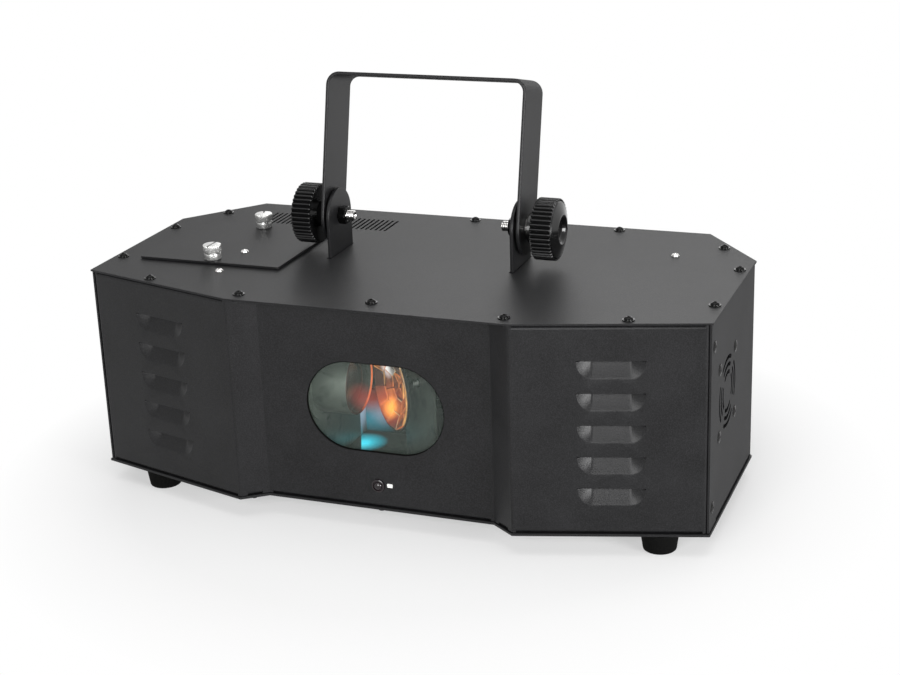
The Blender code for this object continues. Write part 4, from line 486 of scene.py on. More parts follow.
# Painted reflections of the LED's coloured light on the mirror tiles, one colour per tile, as emission
TILE_PAINTED_REFLECTIONS = [
    (0.0, (0.018, 0.0036, 0.0012)),
    (0.24, (0.096, 0.018, 0.0048)),
    (0.42, (0.252, 0.06, 0.012)),
    (0.62, (0.48, 0.156, 0.03)),
    (0.80, (0.06, 0.0096, 0.0036)),
    (0.93, (0.57, 0.54, 0.48)),
]
# Painted patches of orange and dark red light and a painted white highlight over the tiles
TILE_LIT = glowing("tile_lit", TILE_PAINTED_REFLECTIONS, (0.30, 0.25, 0.22), 0.12, 0.8, [
    ((-0.0072, -0.0494, 0.0583), (1.0, 0.42, 0.05), 0.0085),
    ((-0.0072, -0.0494, 0.0583), (0.22, 0.020, 0.010), 0.0190),
    ((-0.0110, -0.0440, 0.0810), (0.9, 0.9, 0.9), 0.0065),
])

# Materials of the nodes that keep their CAD shape
KEPT_NODES = {
    PANE: ("window_glass",),
    TRAY_LIT: ("chassis",),
    GALVANISED: ("motor_bracket",),
    ALUMINIUM: ("heat_sink", "psu_heat_sink"),
    BOARD: ("led_board", "psu_board", "control_board"),
    PLASTIC: ("psu_transformer", "psu_capacitor", "fan_frame", "fan_rotor"),
    STEEL: ("glass_clip_upper", "glass_clip_lower", "clinch_nut_front", "clinch_nut_rear", "eye_nut_left",
            "eye_nut_right", "dish_shaft"),
    BLACK_STEEL: ("dish_motor",),
    DISPLAY: ("display",),
}


# Flat outlines

def moved(points, x, y):
    return [(px + x, py + y) for px, py in points]


def arc(radius, start, end, steps, x=0.0, y=0.0):
    angles = [start + (end - start) * i / steps for i in range(steps + 1)]
    return [(x + radius * math.cos(a), y + radius * math.sin(a)) for a in angles]


def circle(radius, sides, x=0.0, y=0.0):
    return arc(radius, 0.0, 2 * math.pi, sides, x, y)[:-1]


def box_outline(width, height, x=0.0, y=0.0):
    w, h = width / 2, height / 2
    return moved([(-w, -h), (w, -h), (w, h), (-w, h)], x, y)


def rounded_box(width, height, radius, steps=6, x=0.0, y=0.0):
    w, h = width / 2 - radius, height / 2 - radius
    points = []
    for quarter, (cx, cy) in enumerate([(w, h), (-w, h), (-w, -h), (w, -h)]):
        start = quarter * math.pi / 2
        points += arc(radius, start, start + math.pi / 2, steps, cx, cy)
    return moved(points, x, y)


def stadium(width, height, steps, x=0.0, y=0.0):
    radius = min(width, height) / 2
    reach = max(width, height) / 2 - radius
    right = arc(radius, -math.pi / 2, math.pi / 2, steps, reach)
    points = right + arc(radius, math.pi / 2, 3 * math.pi / 2, steps, -reach)
    if height > width:
        points = [(-py, px) for px, py in points]
    return moved(points, x, y)


def arc_slot(radius, width, middle, spread, x, y):
    """A slot bent along a circle, with round ends."""
    start, end = middle - spread / 2, middle + spread / 2
    half = width / 2
    tips = []
    for angle, turn in ((end, 0.0), (start, math.pi)):
        cx, cy = x + radius * math.cos(angle), y + radius * math.sin(angle)
        tips.append(arc(half, angle + turn, angle + turn + math.pi, 6, cx, cy)[1:-1])
    outer = arc(radius + half, start, end, 14, x, y)
    return outer + tips[0] + arc(radius - half, end, start, 14, x, y) + tips[1]


def offset_outline(points, distance):
    """Moves each side of a counter-clockwise outline outward by the distance."""
    result = []
    for i, point in enumerate(points):
        here = Vector(point)
        before = (here - Vector(points[i - 1])).normalized()
        after = (Vector(points[(i + 1) % len(points)]) - here).normalized()
        n1, n2 = Vector((before.y, -before.x)), Vector((after.y, -after.x))
        result.append(tuple(here + (n1 + n2) * distance / (1 + n1.dot(n2))))
    return result


def softened(profile, radius, steps=3):
    """Rounds the inner corners of an open profile, each as far as its two sides allow."""
    result = [profile[0]]
    for i in range(1, len(profile) - 1):
        a, v, b = map(Vector, profile[i - 1:i + 2])
        reach = min(radius, (a - v).length * 0.45, (b - v).length * 0.45)
        start, end = v + (a - v).normalized() * reach, v + (b - v).normalized() * reach
        for k in range(steps + 1):
            t = k / steps
            result.append(tuple(start * (1 - t) ** 2 + v * 2 * t * (1 - t) + end * t * t))
    return result + [profile[-1]]


def dome(radius, base, top, steps, first=0):
    """The profile of a round top, from its rim to its middle."""
    angles = [math.pi / 2 * k / steps for k in range(first, steps)]
    return [(radius * math.cos(a), base + (top - base) * math.sin(a)) for a in angles] + [(0.0, top)]


def along(line, index, distance, inset):
    a, b = Vector(line[index]), Vector(line[index + 1])
    u = (b - a).normalized()
    return tuple(a + u * distance + Vector((-u.y, u.x)) * inset)


def side_length(line, index):
    return (Vector(line[index + 1]) - Vector(line[index])).length


# Meshes

def inside(point, loop):
    x, y = point
    odd = False
    for (ax, ay), (bx, by) in zip(loop, loop[1:] + loop[:1]):
        if (ay > y) != (by > y) and x < ax + (bx - ax) * (y - ay) / (by - ay):
            odd = not odd
    return odd


def filled(outline, holes):
    """Triangulates an outline with holes: its points and its triangles."""
    loops = [list(outline), *holes]
    points = [p for loop in loops for p in loop]
    edges = []
    for loop in loops:
        start = len(edges)
        edges += [(start + i, start + (i + 1) % len(loop)) for i in range(len(loop))]
    _, _, found, origins, _, _ = delaunay_2d_cdt([Vector(p) for p in points], edges, [], 0, 1e-9)
    faces = []
    for corners in found:
        a, b, c = [origins[k][0] for k in corners]
        pa, pb, pc = points[a], points[b], points[c]
        middle = ((pa[0] + pb[0] + pc[0]) / 3, (pa[1] + pb[1] + pc[1]) / 3)
        if inside(middle, loops[0]) and not any(inside(middle, hole) for hole in holes):
            area = (pb[0] - pa[0]) * (pc[1] - pa[1]) - (pc[0] - pa[0]) * (pb[1] - pa[1])
            faces.append((a, b, c) if area > 0 else (a, c, b))
    return points, faces


def add_face(bm, points):
    bm.faces.new([bm.verts.new(point) for point in points])


def add_sheet(bm, outline, holes, place, flip=False):
    """A flat skin with holes. Place gives each point from its two flat coordinates."""
    points, faces = filled(outline, holes)
    verts = [bm.verts.new(place(*point)) for point in points]
    for corners in faces:
        bm.faces.new([verts[k] for k in (corners[::-1] if flip else corners)])


def join(bm, rows, closed=True, flip=False):
    """Joins rows of equally many points by faces."""
    size = len(rows[0])
    for a, b in zip(rows, rows[1:]):
        for i in range(size if closed else size - 1):
            k = (i + 1) % size
            corners = list(dict.fromkeys((a[i], a[k], b[k], b[i])))
            if len(corners) > 2:
                bm.faces.new(corners[::-1] if flip else corners)


def add_rings(bm, rings, capped=True):
    """Joins equal rings of points into a skin."""
    rows = [[bm.verts.new(p) for p in ring] for ring in rings]
    join(bm, rows)
    if capped:
        bm.faces.new(rows[0][::-1])
        bm.faces.new(rows[-1])


def sections(place, levels):
    """Rings of points from outlines and their heights."""
    return [[place @ Vector((x, y, z)) for x, y in outline] for outline, z in levels]


def add_plate(bm, outline, holes, bottom, top, edge=0.0002, place=Matrix()):
    """A flat plate with holes, whose edges all round have a small chamfer."""
    rings = []
    for grow, z in ((-edge, bottom), (0.0, bottom + edge), (0.0, top - edge), (-edge, top)):
        loops = [offset_outline(outline, grow)]
        loops += [offset_outline(hole[::-1], grow)[::-1] for hole in holes]
        rings.append([[bm.verts.new(place @ Vector((x, y, z))) for x, y in loop] for loop in loops])
    floor = [v for loop in rings[0] for v in loop]
    roof = [v for loop in rings[3] for v in loop]
    for a, b, c in filled(loops[0], loops[1:])[1]:
        bm.faces.new((roof[a], roof[b], roof[c]))
        bm.faces.new((floor[c], floor[b], floor[a]))
    for lower, upper in zip(rings, rings[1:]):
        for pair in zip(lower, upper):
            join(bm, pair)


def add_turned(bm, profile, sides, place=Matrix(), wave=None):
    """A solid of revolution about Z from (radius, z) points. A wave gives each point's radius."""
    rings = []
    for radius, z in profile:
        if radius < 1e-6:
            rings.append([bm.verts.new(place @ Vector((0.0, 0.0, z)))] * sides)
            continue
        ring = []
        for i in range(sides):
            angle = 2 * math.pi * i / sides
            r = wave(radius, z, angle) if wave else radius
            ring.append(bm.verts.new(place @ Vector((r * math.cos(angle), r * math.sin(angle), z))))
        rings.append(ring)
    if profile[0][0] > 1e-6 and profile[-1][0] > 1e-6:
        rings.append(rings[0])
    join(bm, rings)


def axis_frame(origin, direction):
    """A matrix whose Z axis runs along the direction."""
    z = Vector(direction).normalized()
    x = Vector((0.0, 0.0, 1.0)).cross(z)
    x = x.normalized() if x.length > 1e-6 else Vector((1.0, 0.0, 0.0))
    place = Matrix((x, z.cross(x), z)).transposed().to_4x4()
    place.translation = Vector(origin)
    return place


def new_object(name, data):
    obj = bpy.data.objects.new(name, data)
    bpy.context.scene.collection.objects.link(obj)
    return obj


def new_mesh(name, bm):
    mesh = bpy.data.meshes.new(name)
    bm.to_mesh(mesh)
    bm.free()
    return mesh


def even_shading(obj):
    obj.modifiers.new("Even shading", "WEIGHTED_NORMAL").keep_sharp = True


def smoothed(mesh, angle=32):
    mesh.shade_smooth()
    mesh.set_sharp_from_angle(angle=math.radians(angle))


def piece(name, bm, skin, body="housing", node=None, slot=None, smooth=32, weld=True, weighted=True):
    """A named piece of the mesh, which rides on a body and may stand for a CAD node."""
    if weld:
        bmesh.ops.remove_doubles(bm, verts=bm.verts, dist=1e-6)
        bmesh.ops.recalc_face_normals(bm, faces=bm.faces)
    obj = new_object(name, new_mesh(name, bm))
    obj.data.materials.append(skin.material)
    smoothed(obj.data, smooth)
    if weighted:
        even_shading(obj)
    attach(obj, body)
    if node:
        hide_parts(node)
    return obj


def plate_piece(name, outline, holes, bottom, top, skin, place=Matrix(), edge=0.0002, **more):
    bm = bmesh.new()
    add_plate(bm, outline, holes, bottom, top, edge, place)
    return piece(name, bm, skin, **more)


def turned_piece(name, profile, sides, skin, place=Matrix(), wave=None, **more):
    bm = bmesh.new()
    add_turned(bm, profile, sides, place, wave)
    return piece(name, bm, skin, **more)


def cut(obj, rings):
    """Cuts the solid between rings of points out of a piece and keeps the result in its mesh."""
    bm = bmesh.new()
    add_rings(bm, rings)
    bmesh.ops.recalc_face_normals(bm, faces=bm.faces)
    cutter = new_object("cutter", new_mesh("cutter", bm))
    obj.modifiers.clear()
    step = obj.modifiers.new("Cut", "BOOLEAN")
    step.operation = "DIFFERENCE"
    step.solver = "EXACT"
    step.object = cutter
    bpy.context.view_layer.update()
    graph = bpy.context.evaluated_depsgraph_get()
    result = bpy.data.meshes.new_from_object(obj.evaluated_get(graph))
    obj.modifiers.clear()
    obj.data = result
    result.name = obj.name
    smoothed(result)
    even_shading(obj)
    bpy.data.objects.remove(cutter, do_unlink=True)


# Folded sheet

def thicken(obj, thickness, edge):
    """Gives a skin its thickness inward, and its cut edges a small chamfer."""
    obj.modifiers.clear()
    step = obj.modifiers.new("Sheet thickness", "SOLIDIFY")
    step.thickness = thickness
    step.offset = -1.0
    step.use_even_offset = True
    step.use_quality_normals = True
    soft = obj.modifiers.new("Cut edges", "BEVEL")
    soft.width = edge
    soft.segments = 1
    soft.limit_method = "ANGLE"
    soft.angle_limit = math.radians(60)
    even_shading(obj)


def fillets(line):
    """For each inner corner of a folded line, its tangent length and the points of its arc."""
    corners = []
    for i in range(1, len(line) - 1):
        a, v, b = map(Vector, line[i - 1:i + 2])
        u, w = (v - a).normalized(), (b - v).normalized()
        turn = math.atan2(u.x * w.y - u.y * w.x, u.dot(w))
        side, radius = (1, FOLD_R) if turn > 0 else (-1, BEND)
        reach = radius * math.tan(abs(turn) / 2)
        arm = Vector((u.y, -u.x)) * side * radius
        steps = max(4, round(abs(turn) / math.radians(7)))
        points = []
        for k in range(steps + 1):
            c, s = math.cos(turn * k / steps), math.sin(turn * k / steps)
            points.append(v - u * reach - arm + Vector((arm.x * c - arm.y * s, arm.x * s + arm.y * c)))
        corners.append((reach, points))
    return corners


def add_flange(bm, place, start, end, depth, slope, screws, upper):
    """A flange folded inward off a wall's edge. Place gives a point from (s, z, inward)."""
    edge, sign = (WALL_HIGH, 1) if upper else (WALL_LOW, -1)
    rows = []
    for inward, rise in arc(FOLD_R, math.pi, math.pi / 2, 5):
        z = edge - sign * (FOLD_R - rise)
        rows.append([bm.verts.new(place(s, z, FOLD_R + inward)) for s in (start, end)])
    join(bm, rows, closed=False, flip=not upper)
    shape = [(start, FOLD_R), (end, FOLD_R), (end - depth * slope, depth), (start + depth * slope, depth)]
    add_sheet(bm, shape, screws, lambda s, inward: place(s, edge, inward), flip=not upper)


def folded_sheet(name, line, holes, flanges, seam, louvres, node):
    """An upright sheet folded along a line, with holes and louvres in its walls and flanges at its
    top and bottom edges."""
    bm = bmesh.new()
    corners = fillets(line)
    trims = [0.0, *[reach for reach, _ in corners], 0.0]
    for index in range(len(line) - 1):
        a = Vector(line[index])
        u = (Vector(line[index + 1]) - a).normalized()
        inward = Vector((-u.y, u.x))

        def place(s, z, depth=0.0, a=a, u=u, inward=inward):
            spot = a + u * s + inward * depth
            return (spot.x, spot.y, z)

        first, last = trims[index], side_length(line, index) - trims[index + 1]
        outline = [(first, WALL_LOW), (last, WALL_LOW), (last, WALL_HIGH), (first, WALL_HIGH)]
        if index in flanges:
            start, end, depth, slope = flanges[index]
            low_z, high_z = WALL_LOW + FOLD_R, WALL_HIGH - FOLD_R
            outline[1:1] = [(start, WALL_LOW), (start, low_z), (end, low_z), (end, WALL_LOW)]
            outline[7:7] = [(end, WALL_HIGH), (end, high_z), (start, high_z), (start, WALL_HIGH)]
            screws = [circle(min(SCREW_HOLE_R, inset - (FOLD_R + 0.0002)), 16, s, inset)
                      for wall, s, inset in seam if wall == index]
            for upper in (True, False):
                add_flange(bm, place, start, end, depth, slope, screws, upper)
        scoops = [add_louvre(bm, place, *louvre) for louvre in louvres.get(index, [])]
        add_sheet(bm, outline, holes.get(index, []) + scoops, place)
    for _, points in corners:
        for p, q in zip(points, points[1:]):
            add_face(bm, [(*p, WALL_LOW), (*q, WALL_LOW), (*q, WALL_HIGH), (*p, WALL_HIGH)])
    bmesh.ops.remove_doubles(bm, verts=bm.verts, dist=2e-6)
    thicken(piece(name, bm, POWDER, node=node, weld=False), SHEET, 0.00018)


def creased(share):
    """Rises evenly to 1 and then stays there, with a small round at the crease."""
    if share < 0.9:
        return share
    return share - (share - 0.9) ** 2 / 0.4 if share < 1.1 else 1.0


def add_louvre(bm, place, middle, top_z):
    """One scoop pressed inward, and its outline for the hole in the wall."""
    half = LOUVRE_TOP / 2
    reach = (LOUVRE_TOP - LOUVRE_BOTTOM) / 2
    angles = [math.pi / 2 * i / 10 for i in range(11)]
    left = [(-half + reach * (1 - math.cos(a)), top_z - LOUVRE_HEIGHT * math.sin(a)) for a in angles]
    for share in (0.95, 1.0, 1.05, 1.1, 1.5, 1.9):
        left.append((-half + LOUVRE_RAMP * share, top_z - LOUVRE_HEIGHT))
    edge = moved(left + [(-x, z) for x, z in reversed(left)], middle, 0.0)
    rows = []
    for rise in [band / 8 for band in range(9)]:
        row = []
        for s, z in edge:
            share = (half - abs(s - middle)) / LOUVRE_RAMP
            depth = LOUVRE_DEPTH * creased(share) * (0.75 * rise + 0.25 * math.sin(rise * math.pi / 2))
            lip_z = top_z - LOUVRE_LIP * min(1.0, math.ceil(share - 1e-6))
            row.append(bm.verts.new(place(s, z + (lip_z - z) * rise, depth)))
        rows.append(row)
    join(bm, rows, closed=False)
    return edge


def flange(line, index, start_gap=FLANGE_END_GAP, end_gap=FLANGE_END_GAP):
    return (start_gap, side_length(line, index) - end_gap, FLANGE, 1.0)


def tab(line, index):
    middle = side_length(line, index) / 2
    return (middle - STEP_TAB_WIDTH / 2, middle + STEP_TAB_WIDTH / 2, STEP_TAB, 0.0)


def front_seam():
    """The screws of the front's flanges: wall, place along it and inset."""
    step = side_length(FRONT_LINE, 2) / 2
    return [
        (1, side_length(FRONT_LINE, 1) - CHAMFER_SCREW_ALONG, SCREW_INSET),
        (2, step, STEP_SCREW_INSET),
        (3, RECESS_X, FRONT_SCREW_INSET),
        (4, step, STEP_SCREW_INSET),
        (5, CHAMFER_SCREW_ALONG, SCREW_INSET),
    ]


def rear_seam():
    side = side_length(REAR_LINE, 0)
    chamfer = side_length(REAR_LINE, 1) / 2
    places = [(0, SIDE_SCREW_FRONT), (0, side - SIDE_SCREW_REAR), (1, chamfer)]
    places += [(2, BACK_CORNER_X - x) for x in (BACK_SCREW_X, 0.0, -BACK_SCREW_X)]
    places += [(3, chamfer), (4, SIDE_SCREW_REAR), (4, side - SIDE_SCREW_FRONT)]
    return [(wall, s, SCREW_INSET) for wall, s in places]


def seam_places():
    places = [along(FRONT_LINE, *screw) for screw in front_seam()]
    return places + [along(REAR_LINE, *screw) for screw in rear_seam()]


# Housing

def return_holes(s):
    return [circle(SCREW_HOLE_R, 16, s, Z_BASE + z) for z in RETURN_SCREW_ZS]


def front_panel():
    from_corner = LOUVRE_FROM_CORNER + LOUVRE_TOP / 2
    screw_s = FRONT_CHAMFER + RETURN_SCREW_Y - FOLD_BACK
    window = stadium(*WINDOW, 40, RECESS_X, Z_BASE + WINDOW_Z)
    receiver = circle(RECEIVER_HOLE_R, 24, RECESS_X, Z_BASE + RECEIVER_Z)
    holes = {0: return_holes(RETURN_FLANGE - screw_s), 3: [window, receiver], 6: return_holes(screw_s)}
    tops = [Z_BASE + LOUVRE_FIRST_Z - i * LOUVRE_PITCH for i in range(LOUVRE_COUNT)]
    left = side_length(FRONT_LINE, 1) - from_corner
    louvres = {1: [(left, z) for z in tops], 5: [(from_corner, z) for z in tops]}
    flanges = {index: flange(FRONT_LINE, index) for index in (1, 3, 5)}
    flanges.update({index: tab(FRONT_LINE, index) for index in (2, 4)})
    folded_sheet("front_cover", FRONT_LINE, holes, flanges, front_seam(), louvres, "front_panel")


def fan_corners():
    reach = FAN_SCREW_PITCH / 2
    return [(y, z) for y in (-reach, reach) for z in (-reach, reach)]


def rear_hole(outline, spot):
    """Puts an outline seen from behind at its place along the back wall."""
    return moved(outline, BACK_CORNER_X - spot.x, spot.z)


def rear_shell():
    middle = FAN.y - (Y_FRONT + FRONT_CHAMFER)
    right = return_holes(RETURN_SCREW_Y)
    for radius in GRILLE_RADII:
        for quarter in range(4):
            turn = quarter * math.pi / 2 + GRILLE_TURN
            right.append(arc_slot(radius, GRILLE_SLOT, turn, GRILLE_ARC, middle, FAN.z))
    right += [circle(SCREW_HOLE_R, 16, middle + y, FAN.z + z) for y, z in fan_corners()]
    inlet = rounded_box(*[side + 2 * GAP for side in INLET_BODY], 0.002)
    shapes = [("iec_inlet", inlet), ("display", box_outline(*DISPLAY_OPENING))]
    for node in ("dmx_in", "dmx_out"):
        shapes.append((node, circle(DMX_BARREL_R + GAP, 40)))
        shapes += [(node, circle(SCREW_HOLE_R, 16, *place)) for place in DMX_SCREWS]
    shapes += [(node, circle(BUTTON_R + GAP, 24)) for node in BUTTONS]
    shapes += [("safety_eye", circle(EYE_ROD_R + GAP, 20, -s * EYE_BEND_R)) for s in (-1, 1)]
    back = [rear_hole(shape, centre(node)) for node, shape in shapes]
    left = return_holes(side_length(REAR_LINE, 0) - RETURN_SCREW_Y)
    clear_end = FOLD_BACK + RETURN_FLANGE - FRONT_CHAMFER + FLANGE_END_GAP
    flanges = {index: flange(REAR_LINE, index) for index in (1, 2, 3)}
    flanges[0] = flange(REAR_LINE, 0, start_gap=clear_end)
    flanges[4] = flange(REAR_LINE, 4, end_gap=clear_end)
    holes = {0: right, 2: back, 4: left}
    folded_sheet("rear_cover", REAR_LINE, holes, flanges, rear_seam(), {}, "rear_shell")


def top_plate():
    holes = [circle(SCREW_HOLE_R, 16, x, y) for x, y in seam_places()]
    holes += [circle(SILVER_R + GAP, 12, x, Y_FRONT + back) for x, back in SILVER_PLACES]
    holes += [circle(THUMB_STUD_R + GAP, 20, spot.x, spot.y) for spot in THUMBS.values()]
    ear_x = high("ear_bridge").x - EAR_SHEET / 2
    slot = (EAR_SHEET + 2 * GAP, 2 * EAR_R + EAR_NOTCH + GAP)
    holes += [box_outline(*slot, side * ear_x, PIVOT.y + (GAP - EAR_NOTCH) / 2) for side in (-1, 1)]
    hatch = centre("hatch_plate")
    holes.append(rounded_box(*HATCH_OPENING, 0.002, 4, hatch.x, hatch.y))
    slot_y = BACK_Y - VENT_FROM_BACK - VENT_LENGTH / 2
    for i in range(VENT_COUNT):
        holes.append(stadium(VENT_WIDTH, VENT_LENGTH, 5, VENT_LAST_X - i * VENT_PITCH, slot_y))
    outline = offset_outline(TOP_OUTLINE, OVERHANG)
    plate_piece("top_cover", outline, holes, Z_CEILING, Z_TOP, POWDER, node="top_plate")


def bottom_plate():
    holes = [circle(SCREW_HOLE_R, 16, x, y) for x, y in seam_places()]
    holes += [circle(FOOT_HOLE_R, 16, *centre(node).xy) for node in FEET]
    outline = offset_outline(BASE_OUTLINE, OVERHANG)
    plate_piece("base_cover", outline, holes, Z_BASE, Z_FLOOR, BASE_LIT, node="bottom_plate",
                slot="powder_coat")


def feet():
    """Rubber feet, a little wider at the top, with the recess of their screw."""
    for node in FEET:
        top = high(node).z
        seat = top - FOOT_SEAT
        profile = softened([
            (FOOT_RECESS_R, 0.0), (FOOT_LOW_R, 0.0), (FOOT_MIDDLE_R, 0.0055), (FOOT_TOP_R, top - 0.0012),
            (FOOT_TOP_R, top), (FOOT_HOLE_R, top), (FOOT_HOLE_R, seat), (FOOT_RECESS_R, seat),
            (FOOT_RECESS_R, 0.0003),
        ], 0.0009)
        place = Matrix.Translation((*centre(node).xy, 0.0))
        turned_piece(node + "_rubber", profile, 48, RUBBER, place, node=node)


# Screws

def screw_mesh(name, head_r, head, flange_r, flange_height, skin):
    """A domed screw head with a cross recess, standing on Z = 0, and its shank below."""
    rim = flange_height * 1.15
    profile = [(0.0, -0.005), (0.00125, -0.005), (0.00125, 0.0)]
    profile += softened([(flange_r, 0.0), (flange_r, flange_height), (head_r, rim)], 0.0002, 2)
    obj = turned_piece(name, profile + dome(head_r, rim, head, 7, 1), 32, skin, slot="black_steel")
    arm, thick = head_r * 0.56, head_r * 0.13
    for turn in (0.0, math.pi / 2):
        levels = []
        for share, z in ((0.5, head * 0.42), (1.25, head * 1.1)):
            levels.append((box_outline(2 * arm * share, 2 * thick), z))
        cut(obj, sections(Matrix.Rotation(turn + 0.35, 4, "Z"), levels))
    return obj


def screw_group(name, master, skin, places, seed, **more):
    """Copies of one screw in one piece, each turned a little differently."""
    turns = random.Random(seed)
    bm = bmesh.new()
    source = bmesh.new()
    source.from_mesh(master.data)
    for origin, direction in places:
        place = axis_frame(origin, direction) @ Matrix.Rotation(turns.uniform(0, math.pi), 4, "Z")
        verts = [bm.verts.new(place @ v.co) for v in source.verts]
        for face in source.faces:
            bm.faces.new([verts[v.index] for v in face.verts])
    source.free()
    piece(name, bm, skin, weld=False, **more)


def screws():
    black = screw_mesh("black_screw", 0.0026, 0.0022, 0.0035, 0.0005, BLACK_STEEL)
    silver = screw_mesh("silver_screw", 0.0023, 0.0017, 0.00245, 0.0004, STEEL)
    flat = screw_mesh("flat_screw", 0.0026, SIDE_HEAD, 0.0035, 0.0003, SIDE_STEEL)
    small = screw_mesh("socket_screw", 0.0022, 0.0016, 0.0023, 0.0003, BLACK_STEEL)
    up, down = (0, 0, 1), (0, 0, -1)
    seam = seam_places()
    screw_group("top_screws", black, BLACK_STEEL, [((x, y, Z_TOP), up) for x, y in seam], 3)
    screw_group("base_screws", black, BLACK_STEEL, [((x, y, Z_BASE), down) for x, y in seam], 4)
    y = Y_FRONT + FRONT_CHAMFER + RETURN_SCREW_Y
    sides = [((s * HALF_W, y, Z_BASE + z), (s, 0, 0)) for s in (-1, 1) for z in RETURN_SCREW_ZS]
    screw_group("side_screws", flat, SIDE_STEEL, sides, 5, slot="black_steel")
    fans = [((HALF_W, FAN.y + y, FAN.z + z), (1, 0, 0)) for y, z in fan_corners()]
    screw_group("fan_screws", flat, SIDE_STEEL, fans, 6, slot="black_steel")
    seats = [((*centre(node).xy, high(node).z - FOOT_SEAT), down) for node in FEET]
    screw_group("foot_screws", black, BLACK_STEEL, seats, 7)
    sockets = []
    for node in ("dmx_in", "dmx_out"):
        middle, face = centre(node), high("dmx_in").y
        sockets += [((middle.x - x, face, middle.z + z), (0, 1, 0)) for x, z in DMX_SCREWS]
    screw_group("socket_screws", small, BLACK_STEEL, sockets, 8)
    places = [((x, Y_FRONT + back, Z_TOP), up) for x, back in SILVER_PLACES]
    screw_group("silver_screws", silver, STEEL, places, 9)
    spot = centre("hatch_plate").xy + Vector(HATCH_SCREW_OFFSET)
    screw_group("hatch_screw", silver, STEEL, [((*spot, high("hatch_plate").z), up)], 10, body="hatch")
    for master in (black, silver, flat, small):
        bpy.data.objects.remove(master, do_unlink=True)


# Window

def window():
    wall = Y_FRONT + RECESS
    front = (0, -1, 0)
    place = axis_frame((0.0, wall, Z_BASE + WINDOW_Z), front)
    outer = stadium(*[side - SEAL_PLAY for side in WINDOW], 40)
    inner = stadium(*[side - SEAL_PLAY - 2 * SEAL_WIDTH for side in WINDOW], 40)
    # A thin black rubber ring lines the window's cut edge; its black also stands in for the shade that falls
    # on that edge
    plate_piece("window_seal_shade", outer, [inner], wall - PANE_Y, -0.0001, RUBBER, place, 0.00005)
    z = centre("ir_receiver").z
    profile = [(0.0, -0.007), (0.0028, -0.007), (0.0028, 0.0003)]
    profile += softened([(0.0040, 0.0003), (0.0040, 0.0009), (0.0031, 0.0012), (0.0029, 0.0006)], 0.0002, 2)
    profile += dome(0.0025, 0.0006, 0.0023, 8)
    place = axis_frame((centre("ir_receiver").x, wall, z), front)
    turned_piece("receiver_dome", profile, 40, GLOSS, place, node="ir_receiver")
    place = axis_frame((LABEL_X, wall, z + LABEL_UP), front)
    label = rounded_box(*LABEL, 0.0004, 4)
    plate_piece("receiver_mark", label, [], 0.0, 0.00012, MARK, place, 0.00003, slot="steel")


# Bracket and its pivots

def strap(name, node, face, bend, half, web_z, rise, steps, holes, place, sheet, edge, body="housing"):
    """A strap folded from one strip: two upright faces with their stud hole, and the web between them,
    above (rise 1) or below (rise -1)."""
    bm = bmesh.new()
    outside = high(node).x
    start = web_z - rise * bend
    turn = arc(bend, 0.0, rise * math.pi / 2, steps, outside - bend, start)
    reach = rise * half
    for side in (-1, 1):
        add_sheet(bm, face, [circle(STUD_HOLE_R, 24)], lambda s, z: (side * outside, side * s, z))
        for (x0, z0), (x1, z1) in zip(turn, turn[1:]):
            corners = [(x0, -reach, z0), (x0, reach, z0), (x1, reach, z1), (x1, -reach, z1)]
            add_face(bm, [(side * x, side * y, z) for x, y, z in corners])
    web = box_outline(2 * (outside - bend), 2 * half)
    add_sheet(bm, web, holes, lambda x, y: (x, y, web_z), flip=rise < 0)
    bmesh.ops.remove_doubles(bm, verts=bm.verts, dist=2e-6)
    bmesh.ops.transform(bm, matrix=place, verts=bm.verts)
    thicken(piece(name, bm, POWDER, body, node, weld=False), sheet, edge)


def ears():
    web_z = low("ear_bridge").z - PIVOT.z
    start = web_z + EAR_BEND_R
    face = [(-EAR_R, start), (EAR_R, start), *arc(EAR_R, 0.0, math.pi, 40)]
    place = Matrix.Translation((0.0, PIVOT.y, PIVOT.z))
    strap("ear_strap", "ear_bridge", face, EAR_BEND_R, EAR_R, web_z, -1, 6, [], place, EAR_SHEET, 0.0003)


def bracket():
    half = ARM_WIDTH / 2
    shoulder = BAR_UP - BRACKET_BEND_R
    arm = [*arc(half, math.pi, 2 * math.pi, 32), (half, shoulder), (-half, shoulder)]
    holes = [circle(CLAMP_HOLE_R, 40)] + [circle(SIDE_HOLE_R, 28, side * SIDE_HOLE_X) for side in (-1, 1)]
    lean = Matrix.Translation(PIVOT) @ Matrix.Rotation(-BRACKET_LEAN, 4, "X")
    strap("bracket_strap", "bracket", arm, BRACKET_BEND_R, half, BAR_UP, 1, 12, holes, lean, ARM_SHEET,
          0.00035, "bracket")


def inner_x(node, side):
    """How far from the middle a node starts, on its own side."""
    return low(node).x if side > 0 else -high(node).x


def pivot_frame(side, x, outward=1):
    return axis_frame((side * x, PIVOT.y, PIVOT.z), (side * outward, 0, 0))


def knob_wave(radius, z, angle):
    """Grooves between the ribs, fading out at the rim towards the face."""
    if radius < KNOB_FACE_R + 0.0002:
        return radius
    fade = min(1.0, (radius - KNOB_FACE_R) / (KNOB_R - KNOB_FACE_R))
    groove = max(0.0, 0.5 + 0.5 * math.cos(KNOB_RIBS * angle)) ** 1.5
    return radius - KNOB_GROOVE * groove * fade


